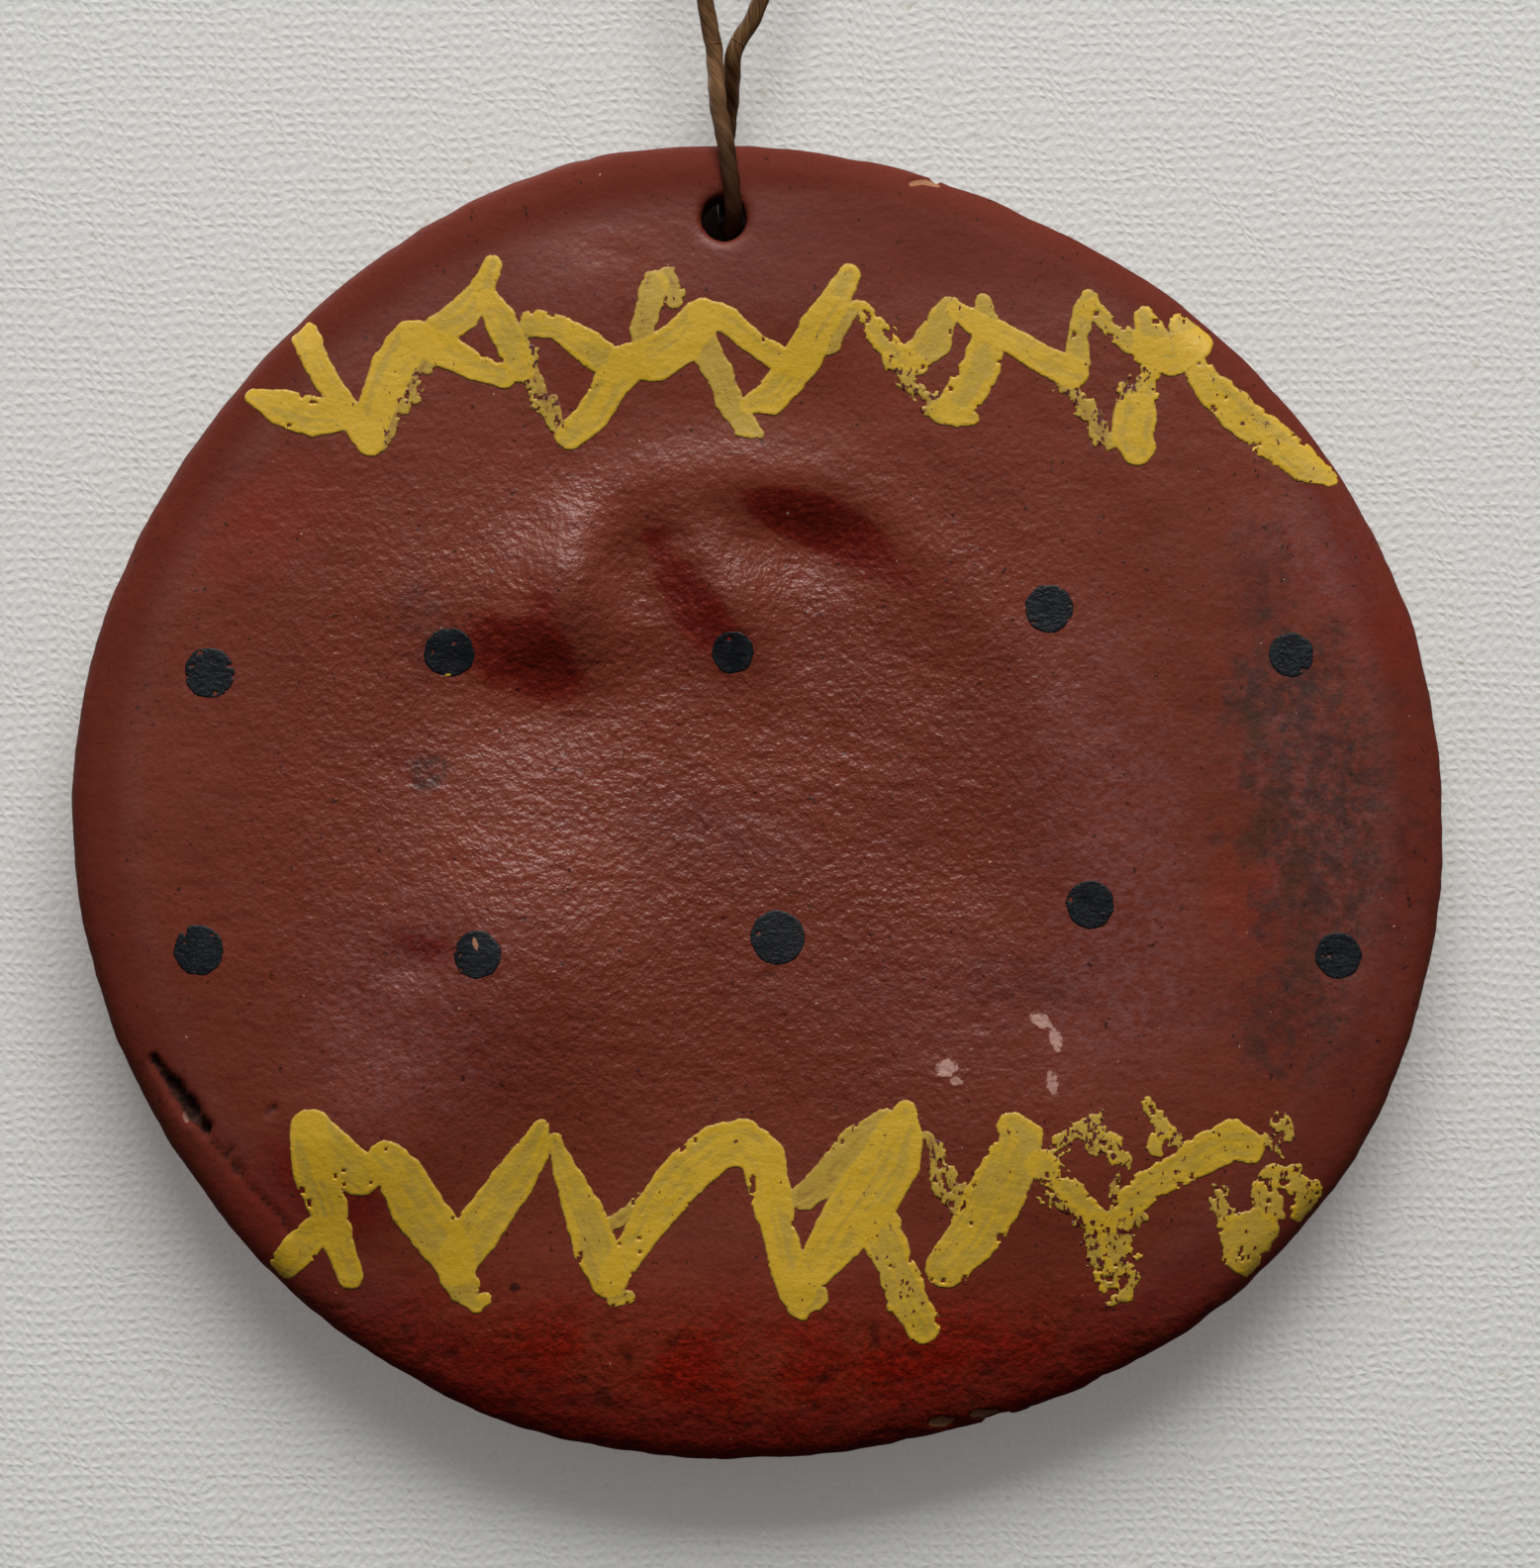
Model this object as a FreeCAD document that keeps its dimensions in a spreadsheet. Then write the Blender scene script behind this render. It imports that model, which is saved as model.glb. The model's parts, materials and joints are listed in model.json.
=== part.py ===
"""A hanging clay disc with painted zigzags and dots, on a knotted loop of cord.

Millimetres, +Z up, +X to the right as seen from the painted side, which faces -Y.
The origin is the centre of the flat back face.
"""
import FreeCAD, Part
import math
import os
import Sketcher

Vector = FreeCAD.Vector
Rotation = FreeCAD.Rotation

doc = FreeCAD.newDocument("clay_ornament")

# ---------------------------------------------------------------- driving dimensions

DIMENSIONS = [
    ("rim_mean_radius", 37.2, "mean radius of the hand-cut outline"),
    ("oval_depth", 0.85, "how far the outline is stretched sideways"),
    ("oval_angle", -9.0, "direction of the long axis, degrees from +X"),
    ("lobe_depth", 0.4, "three-sided unevenness of the outline"),
    ("lobe_angle", -20.0, "direction of its first lobe"),
    ("ripple_depth", 0.25, "five-sided unevenness of the outline"),
    ("ripple_angle", 32.0, "direction of its first lobe"),
    ("blank_thickness", 9.0, "slab before the front is pressed down"),
    ("clay_thickness", 6.8, "front face above the back plane, in the middle"),
    ("rim_fall", 1.3, "how much lower the front face lies at the rim"),
    ("front_round", 2.2, "rounding of the front edge"),
    ("back_round", 1.2, "rounding of the back edge"),
    ("flat_radius", 17.0, "radius of the flat middle of the back"),
    ("lift_radius", 30.5, "radius where the back has curled up to its full lift"),
    ("rim_lift", 1.25, "how far the rim stands clear of a table"),
    ("hole_across", -1.9, "hole centre, sideways"),
    ("hole_height", 32.6, "hole centre, above the disc's centre"),
    ("hole_radius", 1.25, "pierced hole"),
    ("hole_lip", 0.6, "rounding where the hole meets both faces"),
    ("dot_radius", 1.33, "painted dots"),
    ("paint_thickness", 0.17, "height of a paint film, with the part sunk in the clay"),
    ("paint_sink", 0.02, "how far the film is keyed into the clay"),
    ("cord_radius", 0.5, "waxed cord"),
    ("cord_gap", 0.05, "play between cord and clay"),
    ("joint_gap", 0.1, "play in the cord's ball ends"),
    ("cord_bend", 1.0, "bend of the cord's centre line at the hole's mouths"),
    ("strand_offset", 0.52, "half the distance between touching strands"),
    ("leg_height", 5.4, "straight legs, above the hole centre"),
    ("twist_height", 8.9, "where the strands meet, above the hole centre"),
    ("tilt_height", 11.1, "where the strands part, above the hole centre"),
    ("fold_height", 35.5, "middle of the loop, above the hole centre"),
    ("knot_height", 60.4, "underside of the knot, above the hole centre"),
    ("knot_length", 4.2, "knot"),
    ("knot_end_radius", 1.25, "knot at its two ends"),
    ("knot_belly_radius", 2.0, "knot at its middle"),
    ("knot_bite", 0.1, "how far each strand runs into the knot"),
    ("tail_length", 9.5, "cut ends above the knot"),
]

sheet = doc.addObject("Spreadsheet::Sheet", "dimensions")
for row, (alias, value, note) in enumerate(DIMENSIONS, start=1):
    sheet.set(f"A{row}", alias)
    sheet.set(f"B{row}", str(value))
    sheet.set(f"C{row}", note)
    sheet.setAlias(f"B{row}", alias)
doc.recompute()


def size(alias):
    """The value of one driving dimension."""
    return float(sheet.getContents(sheet.getCellFromAlias(alias)))


def bind(feature, prop, expression):
    """Tie a property to the sheet, where each word of the expression is an alias."""
    words = expression.split()
    linked = [f"dimensions.{word}" if word[0].isalpha() else word for word in words]
    feature.setExpression(prop, " ".join(linked))


def origin_feature(body, role):
    """One of a body's own origin planes or axes."""
    return next(f for f in body.Origin.OriginFeatures if f.Role == role)


def new_sketch(body, name, role):
    sketch = body.newObject("Sketcher::SketchObject", name)
    sketch.AttachmentSupport = (origin_feature(body, role), [""])
    sketch.MapMode = "FlatFace"
    return sketch


# ---------------------------------------------------------------- clay disc

RIM_POINTS = 36
PRESS_REACH = 42.0
PRESS_STEPS = 34
PRESS_DEPTH = 20.0
PRESS_LIMIT = 1.2
CUT_BEYOND_RIM = 4.0
CUT_ABOVE_BACK = 1.0

# finger marks: centre across, centre up, spread across, spread up, height (below zero is a hollow)
FINGER_MARKS = [
    (1.3, 6.0, 12.0, 10.0, -1.0),
    (-5.8, 14.6, 3.6, 3.0, -0.6),
    (5.2, 15.2, 4.0, 2.8, -0.6),
    (-0.3, 13.6, 2.2, 3.4, 0.35),
    (-11.4, 6.8, 5.0, 2.8, -0.8),
    (-13.2, -4.4, 6.0, 5.0, 0.45),
    (-1.4, 19.4, 9.0, 2.2, 0.3),
    (17.8, 1.0, 2.6, 8.0, 0.35),
]


def rim_radius(angle):
    """Radius of the outline at an angle in degrees from +X."""
    uneven = (("oval", 2), ("lobe", 3), ("ripple", 5))
    radius = size("rim_mean_radius")
    for name, count in uneven:
        turn = math.radians(count * (angle - size(f"{name}_angle")))
        radius += size(f"{name}_depth") * math.cos(turn)
    return radius


def rim_curve():
    """Closed outline, in the sketch's own plane."""
    points = []
    for step in range(RIM_POINTS):
        angle = 360.0 * step / RIM_POINTS
        turn = math.radians(angle)
        radius = rim_radius(angle)
        points.append(Vector(radius * math.cos(turn), radius * math.sin(turn), 0))
    curve = Part.BSplineCurve()
    curve.interpolate(Points=points, PeriodicFlag=True)
    return curve


def front_height(across, up):
    """Height of the front face above the back plane: a shallow dome with finger marks."""
    share = math.hypot(across, up) / size("rim_mean_radius")
    height = size("clay_thickness") - size("rim_fall") * min(share, PRESS_LIMIT) ** 4
    for mark_across, mark_up, spread_across, spread_up, mark_height in FINGER_MARKS:
        away_across = (across - mark_across) / spread_across
        away_up = (up - mark_up) / spread_up
        height += mark_height * math.exp(-(away_across**2) - away_up**2)
    return height


def front_face(sink):
    """The front surface as one smooth sheet, sunk into the clay by a given depth."""
    grid = []
    for row_step in range(PRESS_STEPS + 1):
        up = PRESS_REACH * (2.0 * row_step / PRESS_STEPS - 1.0)
        line = []
        for step in range(PRESS_STEPS + 1):
            across = PRESS_REACH * (2.0 * step / PRESS_STEPS - 1.0)
            line.append(Vector(across, sink - front_height(across, up), up))
        grid.append(line)
    surface = Part.BSplineSurface()
    surface.interpolate(grid)
    return surface.toShape()


def add_clay_blank():
    """The slab as cut out: outline, lifted rim at the back and the pierced hole."""
    body = doc.addObject("PartDesign::Body", "clay_blank")

    outline = new_sketch(body, "outline_sketch", "XZ_Plane")
    outline.addGeometry(rim_curve(), False)
    slab = body.newObject("PartDesign::Pad", "slab")
    slab.Profile = outline
    bind(slab, "Length", "blank_thickness")
    doc.recompute()
    slab_volume = slab.Shape.Volume

    profile = new_sketch(body, "rim_lift_sketch", "XY_Plane")
    flat, lifted, lift = size("flat_radius"), size("lift_radius"), size("rim_lift")
    beyond = size("rim_mean_radius") + CUT_BEYOND_RIM
    bend = ((lifted - flat) ** 2 + lift**2) / (4.0 * lift)
    turn = math.asin((lifted - flat) / 2.0 / bend) / 2.0
    halfway = Vector((flat + lifted) / 2.0, -lift / 2.0, 0)
    first = Vector(flat + bend * math.sin(turn), bend * (math.cos(turn) - 1.0), 0)
    second = Vector(lifted - bend * math.sin(turn), bend * (1.0 - math.cos(turn)) - lift, 0)
    start, end = Vector(flat, 0, 0), Vector(lifted, -lift, 0)
    corners = [
        end,
        Vector(beyond, -lift, 0),
        Vector(beyond, CUT_ABOVE_BACK, 0),
        Vector(flat, CUT_ABOVE_BACK, 0),
        start,
    ]
    profile.addGeometry(Part.Arc(start, first, halfway), False)
    profile.addGeometry(Part.Arc(halfway, second, end), False)
    for begin, finish in zip(corners, corners[1:]):
        profile.addGeometry(Part.LineSegment(begin, finish), False)
    lift_cut = body.newObject("PartDesign::Groove", "rim_lift_cut")
    lift_cut.Profile = profile
    lift_cut.ReferenceAxis = (origin_feature(body, "Y_Axis"), [""])
    lift_cut.Angle = 360.0
    doc.recompute()
    lifted_volume = lift_cut.Shape.Volume

    circle = new_sketch(body, "hole_sketch", "XZ_Plane")
    centre = Vector(size("hole_across"), size("hole_height"), 0)
    ring = circle.addGeometry(Part.Circle(centre, Vector(0, 0, 1), size("hole_radius")), False)
    root_point, centre_point = -1, 3
    across = circle.addConstraint(
        Sketcher.Constraint("DistanceX", ring, centre_point, root_point, 1, -size("hole_across"))
    )
    height = circle.addConstraint(
        Sketcher.Constraint("DistanceY", root_point, 1, ring, centre_point, size("hole_height"))
    )
    radius = circle.addConstraint(Sketcher.Constraint("Radius", ring, size("hole_radius")))
    bind(circle, f"Constraints[{across}]", "-1 * hole_across")
    bind(circle, f"Constraints[{height}]", "hole_height")
    bind(circle, f"Constraints[{radius}]", "hole_radius")
    hole = body.newObject("PartDesign::Pocket", "hole")
    hole.Profile = circle
    hole.Type = "ThroughAll"
    hole.Reversed = True
    body.Tip = hole
    doc.recompute()
    if not hole.Shape.Volume < lifted_volume < slab_volume:
        raise RuntimeError("the lifted rim or the hole cut nothing")
    return body


def round_edges(solid):
    """Edge numbers and radii: the front rim, the back rim and both mouths of the hole."""
    hole_centre = Vector(size("hole_across"), 0, size("hole_height"))
    mouth_reach = 2.0 * size("hole_radius")
    rim_span = size("lift_radius") + size("rim_mean_radius")
    mid_depth = -size("clay_thickness") / 2.0
    rounds = []
    for number, edge in enumerate(solid.Edges, start=1):
        box = edge.BoundBox
        middle = Vector(box.Center.x, 0, box.Center.z)
        is_seam = box.YLength > max(box.XLength, box.ZLength) / 2.0
        if is_seam:
            continue
        if middle.distanceToPoint(hole_centre) < mouth_reach:
            rounds.append((number, size("hole_lip"), size("hole_lip")))
        elif box.XLength > rim_span:
            radius = size("front_round") if box.Center.y < mid_depth else size("back_round")
            rounds.append((number, radius, radius))
    return rounds


def add_clay_disc(blank):
    press = doc.addObject("Part::Feature", "front_press")
    press.Shape = front_face(0.0).extrude(Vector(0, -PRESS_DEPTH, 0))
    pressed = doc.addObject("Part::Cut", "pressed_slab")
    pressed.Base = blank
    pressed.Tool = press
    doc.recompute()
    disc = doc.addObject("Part::Fillet", "rounded_disc")
    disc.Base = pressed
    disc.Edges = round_edges(pressed.Shape)
    disc.Label = "clay_disc"
    return disc


# ---------------------------------------------------------------- paint

# brush runs: width of the brush mark, then the points of its centre line (across, up)
UPPER_RUNS = [
    (1.9, [(-25.3, 22.2), (-23.0, 21.7), (-21.4, 20.4)]),
    (1.4, [(-23.6, 24.0), (-22.8, 22.2)]),
    (2.0, [(-21.4, 20.4), (-21.0, 22.2), (-19.1, 25.9)]),
    (1.7, [(-19.1, 25.9), (-14.0, 24.1)]),
    (1.5, [(-17.5, 26.3), (-14.8, 29.7)]),
    (1.7, [(-14.9, 28.1), (-13.1, 24.4)]),
    (1.5, [(-12.4, 26.6), (-8.1, 24.6)]),
    (1.2, [(-12.6, 25.8), (-12.2, 23.6), (-10.5, 20.9)]),
    (2.0, [(-10.4, 20.7), (-6.9, 24.7), (-3.2, 27.0)]),
    (1.5, [(-5.6, 29.0), (-6.3, 26.1)]),
    (1.4, [(-3.1, 27.2), (2.1, 24.7)]),
    (1.5, [(-3.0, 26.1), (-0.6, 21.4)]),
    (1.8, [(-0.1, 22.2), (2.5, 24.9), (5.0, 29.2)]),
    (1.4, [(5.5, 27.5), (9.6, 22.4)]),
    (1.8, [(10.4, 27.4), (9.1, 25.3)]),
    (2.1, [(12.6, 26.1), (11.0, 22.2)]),
    (1.5, [(11.0, 27.5), (17.3, 24.1)]),
    (1.3, [(17.5, 24.3), (18.2, 28.0)]),
    (1.3, [(17.3, 23.6), (18.9, 20.9)]),
    (1.5, [(18.5, 27.5), (21.7, 25.3), (22.9, 25.1)]),
    (1.7, [(21.6, 25.0), (20.8, 20.4)]),
    (1.9, [(22.9, 24.9), (25.0, 22.6), (28.4, 18.9)]),
]
LOWER_RUNS = [
    (2.2, [(-24.7, -17.7), (-24.4, -20.2), (-23.5, -23.2)]),
    (2.2, [(-24.0, -18.2), (-21.9, -19.9)]),
    (1.5, [(-23.3, -23.2), (-22.6, -25.2)]),
    (2.4, [(-20.3, -19.4), (-18.8, -21.8), (-16.6, -25.1), (-15.6, -26.9)]),
    (2.1, [(-16.3, -24.4), (-12.2, -18.2)]),
    (1.9, [(-11.1, -18.5), (-9.7, -22.4), (-8.1, -26.2)]),
    (2.2, [(-7.8, -25.4), (-5.4, -21.7), (-2.3, -18.6), (-0.3, -18.3), (0.8, -21.3), (1.9, -26.2)]),
    (1.9, [(2.5, -21.3), (7.0, -17.4)]),
    (2.9, [(3.2, -25.1), (6.0, -21.3), (7.8, -17.6)]),
    (2.1, [(6.6, -22.9), (8.9, -28.1)]),
    (1.3, [(9.7, -18.5), (11.1, -21.7)]),
    (2.6, [(10.4, -25.1), (12.9, -21.5), (14.3, -18.1)]),
    (1.4, [(15.4, -19.2), (19.1, -22.9)]),
    (1.1, [(16.5, -18.3), (18.7, -17.2), (20.2, -19.4)]),
    (2.0, [(19.2, -22.9), (19.9, -26.5)]),
    (2.0, [(19.8, -22.2), (23.1, -19.9), (26.1, -18.2), (27.1, -18.5)]),
    (1.5, [(25.6, -20.9), (26.3, -22.4)]),
]
# dot centres (across, up)
UPPER_DOTS = [(-30.2, 7.6), (-17.0, 8.7), (-1.4, 8.7), (16.0, 11.1), (29.4, 8.6)]
LOWER_DOTS = [(-30.8, -7.7), (-15.4, -7.9), (1.1, -7.0), (18.3, -5.2), (32.0, -8.0)]


def brush_mark(begin, finish, width):
    """One straight, round-ended brush mark, drawn out through the disc."""
    first = Vector(begin[0], 0, begin[1])
    last = Vector(finish[0], 0, finish[1])
    ahead = (last - first).normalize() * (width / 2.0)
    side = Vector(-ahead.z, 0, ahead.x)
    edges = [
        Part.LineSegment(first + side, last + side),
        Part.Arc(last + side, last + ahead, last - side),
        Part.LineSegment(last - side, first - side),
        Part.Arc(first - side, first - ahead, first + side),
    ]
    face = Part.Face(Part.Wire([edge.toShape() for edge in edges]))
    return face.extrude(Vector(0, -PRESS_DEPTH, 0))


def add_zigzag_outline(name, runs):
    """All brush marks of a band joined into one pattern."""
    marks = []
    for width, points in runs:
        for begin, finish in zip(points, points[1:]):
            marks.append(brush_mark(begin, finish, width))
    outline = doc.addObject("Part::Feature", name)
    outline.Shape = marks[0].multiFuse(marks[1:]).removeSplitter()
    return outline


def add_dot_outline(name, centres):
    """Five round marks drawn out through the disc."""
    pegs = []
    for count, (across, up) in enumerate(centres, start=1):
        peg = doc.addObject("Part::Cylinder", f"{name}_{count}")
        bind(peg, "Radius", "dot_radius")
        bind(peg, "Height", "2 * blank_thickness")
        peg.Placement = FreeCAD.Placement(Vector(across, 0, up), Rotation(Vector(1, 0, 0), 90))
        pegs.append(peg)
    outline = doc.addObject("Part::Compound", name)
    outline.Links = pegs
    return outline


def add_film(label, outline, skin):
    """A paint film: the patch of the front face inside an outline, thickened outwards."""
    patch = doc.addObject("Part::Common", f"{label}_patch")
    patch.Base = outline
    patch.Tool = skin
    film = doc.addObject("Part::Extrusion", f"{label}_film")
    film.Base = patch
    film.DirMode = "Custom"
    film.Dir = Vector(0, -1, 0)
    film.Solid = True
    bind(film, "LengthFwd", "paint_thickness")
    film.Label = label
    return film


# ---------------------------------------------------------------- cord

def curve_between(begin, begin_way, finish, finish_way):
    """A smooth cord run that leaves one point and reaches the next along given directions."""
    handle = (finish - begin).Length / 3.0
    leave = Vector(begin_way).normalize() * handle
    arrive = Vector(finish_way).normalize() * handle
    curve = Part.BezierCurve()
    curve.setPoles([begin, begin + leave, finish - arrive, finish])
    return curve.toShape()


def add_strand(name, edges, start, way):
    """Cord swept along a path that starts at a point in a given direction."""
    path = doc.addObject("Part::Feature", f"{name}_path")
    path.Shape = Part.Wire(edges)
    section = doc.addObject("Part::Circle", f"{name}_section")
    bind(section, "Radius", "cord_radius")
    section.Placement = FreeCAD.Placement(start, Rotation(Vector(0, 0, 1), Vector(way)))
    strand = doc.addObject("Part::Sweep", f"{name}_strand")
    strand.Sections = [section]
    strand.Spine = (path, [f"Edge{number}" for number in range(1, len(edges) + 1)])
    strand.Solid = True
    strand.Frenet = False
    return strand


def add_ball_end(strand, centre, way):
    """The lower end of a strand, rounded to turn in the cup of the strand below it."""
    ball = doc.addObject("Part::Sphere", f"{strand.Name}_ball")
    bind(ball, "Radius", "cord_radius")
    ball.Angle1 = -90
    ball.Angle2 = 0
    ball.Placement = FreeCAD.Placement(centre, Rotation(Vector(0, 0, 1), Vector(way)))
    joined = doc.addObject("Part::Fuse", f"{strand.Name}_with_ball")
    joined.Base = strand
    joined.Tool = ball
    return joined


def add_cup_end(strand, centre):
    """The upper end of a strand, hollowed with play for the ball above it."""
    ball = doc.addObject("Part::Sphere", f"{strand.Name}_cup")
    bind(ball, "Radius", "cord_radius + joint_gap")
    ball.Placement.Base = centre
    hollowed = doc.addObject("Part::Cut", f"{strand.Name}_with_cup")
    hollowed.Base = strand
    hollowed.Tool = ball
    return hollowed


def above_hole(alias):
    return size("hole_height") + size(alias)


UP = Vector(0, 0, 1)
DOWN = Vector(0, 0, -1)
CORD_CLEARANCE = size("cord_gap") + size("cord_radius")
FRONT_LEG = -front_height(size("hole_across"), size("hole_height")) - CORD_CLEARANCE
BACK_LEG = CORD_CLEARANCE - size("rim_lift")
CORD_PLANE = (FRONT_LEG + BACK_LEG) / 2.0

# each side of the loop: its sign, reach at the tilt line, reach at the fold line, lean at the tilt line
SIDES = {"left": (-1, 0.85, 4.3, 0.12), "right": (1, 1.55, 5.1, 0.4)}
KNOT_LEAN = 0.25
TAIL_LEAN = {"left": 0.28, "right": 0.42}


def cord_point(side, reach, height):
    across = size("hole_across") + SIDES[side][0] * reach
    return Vector(across, CORD_PLANE, height)


def add_cord_bight():
    """The cord through the hole, up both faces of the disc, to where its strands meet."""
    across, bend, offset = size("hole_across"), size("cord_bend"), size("strand_offset")
    run = size("hole_height") + size("hole_radius") - CORD_CLEARANCE
    leg_top = above_hole("leg_height")
    meet = above_hole("twist_height") - size("cord_gap")
    start = Vector(across - offset, CORD_PLANE, meet)
    end = Vector(across + offset, CORD_PLANE, meet)
    slant = bend * (1.0 - math.cos(math.radians(45)))

    def at(depth, height):
        return Vector(across, depth, height)

    front_corner = Part.Arc(
        at(FRONT_LEG, run + bend), at(FRONT_LEG + slant, run + slant), at(FRONT_LEG + bend, run)
    )
    back_corner = Part.Arc(
        at(BACK_LEG - bend, run), at(BACK_LEG - slant, run + slant), at(BACK_LEG, run + bend)
    )
    edges = [
        curve_between(start, DOWN, at(FRONT_LEG, leg_top), DOWN),
        Part.makeLine(at(FRONT_LEG, leg_top), at(FRONT_LEG, run + bend)),
        front_corner.toShape(),
        Part.makeLine(at(FRONT_LEG + bend, run), at(BACK_LEG - bend, run)),
        back_corner.toShape(),
        Part.makeLine(at(BACK_LEG, run + bend), at(BACK_LEG, leg_top)),
        curve_between(at(BACK_LEG, leg_top), UP, end, UP),
    ]
    bight = add_strand("bight", edges, start, DOWN)
    bight.Label = "cord_bight"
    return bight


def tilt_way(side):
    sign, _, _, lean = SIDES[side]
    return Vector(sign * lean, 0, 1)


def add_cord_neck():
    """The short stretch where both strands lie side by side, then part."""
    strands = []
    for side in SIDES:
        start = cord_point(side, size("strand_offset"), above_hole("twist_height") + size("cord_gap"))
        end = cord_point(side, SIDES[side][1], above_hole("tilt_height"))
        run = curve_between(start, UP, end, tilt_way(side))
        strands.append(add_cup_end(add_strand(f"neck_{side}", [run], start, UP), end))
    neck = doc.addObject("Part::Compound", "neck")
    neck.Links = strands
    neck.Label = "cord_neck"
    return neck


def add_lower_loop(side):
    start = cord_point(side, SIDES[side][1], above_hole("tilt_height"))
    end = cord_point(side, SIDES[side][2], above_hole("fold_height"))
    run = curve_between(start, tilt_way(side), end, UP)
    strand = add_strand(f"lower_{side}", [run], start, tilt_way(side))
    piece = add_cup_end(add_ball_end(strand, start, tilt_way(side)), end)
    piece.Label = f"cord_{side}_lower"
    return piece


def add_upper_loop(side):
    knot_way = Vector(-SIDES[side][0] * KNOT_LEAN, 0, 1)
    start = cord_point(side, SIDES[side][2], above_hole("fold_height"))
    end = cord_point(side, size("strand_offset"), above_hole("knot_height") + size("knot_bite"))
    run = curve_between(start, UP, end, knot_way)
    piece = add_ball_end(add_strand(f"upper_{side}", [run], start, UP), start, UP)
    piece.Label = f"cord_{side}_upper"
    return piece


def add_cord_knot():
    """The overhand knot of both strands, as one barrel-shaped lump."""
    body = doc.addObject("PartDesign::Body", "knot")
    body.Placement.Base = Vector(size("hole_across"), CORD_PLANE, above_hole("knot_height"))
    profile = new_sketch(body, "knot_profile", "XZ_Plane")
    end, belly, length = size("knot_end_radius"), size("knot_belly_radius"), size("knot_length")
    corners = [Vector(end, length, 0), Vector(0, length, 0), Vector(0, 0, 0), Vector(end, 0, 0)]
    for begin, finish in zip(corners, corners[1:]):
        profile.addGeometry(Part.LineSegment(begin, finish), False)
    flank = Part.Arc(Vector(end, 0, 0), Vector(belly, length / 2.0, 0), Vector(end, length, 0))
    profile.addGeometry(flank, False)
    turned = body.newObject("PartDesign::Revolution", "knot_turned")
    turned.Profile = profile
    turned.ReferenceAxis = (origin_feature(body, "Z_Axis"), [""])
    turned.Angle = 360.0
    body.Label = "cord_knot"
    return body


def add_cord_tail(side):
    base = above_hole("knot_height") + size("knot_length") - size("knot_bite")
    way = Vector(SIDES[side][0] * TAIL_LEAN[side], 0, 1)
    start = cord_point(side, size("strand_offset"), base)
    end = start + way * size("tail_length")
    run = curve_between(start, UP, end, way)
    tail = add_strand(f"tail_{side}", [run], start, UP)
    tail.Label = f"cord_tail_{side}"
    return tail


# ---------------------------------------------------------------- assembly

skin = doc.addObject("Part::Feature", "front_skin")
skin.Shape = front_face(size("paint_sink"))

sub_parts = [
    add_clay_disc(add_clay_blank()),
    add_film("upper_zigzag", add_zigzag_outline("upper_band", UPPER_RUNS), skin),
    add_film("lower_zigzag", add_zigzag_outline("lower_band", LOWER_RUNS), skin),
    add_film("upper_dots", add_dot_outline("upper_row", UPPER_DOTS), skin),
    add_film("lower_dots", add_dot_outline("lower_row", LOWER_DOTS), skin),
    add_cord_bight(),
    add_cord_neck(),
    add_lower_loop("left"),
    add_lower_loop("right"),
    add_upper_loop("left"),
    add_upper_loop("right"),
    add_cord_knot(),
    add_cord_tail("left"),
    add_cord_tail("right"),
]
doc.recompute()

for feature in doc.Objects:
    if "Invalid" in feature.State or "Error" in feature.State:
        raise RuntimeError(f"{feature.Name} did not build: {feature.State}")
for piece in sub_parts:
    if piece.Shape.isNull() or not piece.Shape.isValid() or not piece.Shape.Solids:
        raise RuntimeError(f"{piece.Label} has no valid solid")

os.makedirs("parts", exist_ok=True)
for piece in sub_parts:
    piece.Shape.exportStep(f"parts/{piece.Label}.step")
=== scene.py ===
"""Looks of the hanging clay disc: pressed clay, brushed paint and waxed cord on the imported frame.

Metres, in the frame's own axes: +Z up, +X right, and the painted side faces -Y.
Lengths written in millimetres are multiplied by MM. On the disc, "across" is X and "up" is Z.
"""
import json
import math
import bpy
import numpy as np
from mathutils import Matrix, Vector
from mathutils.bvhtree import BVHTree

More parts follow.
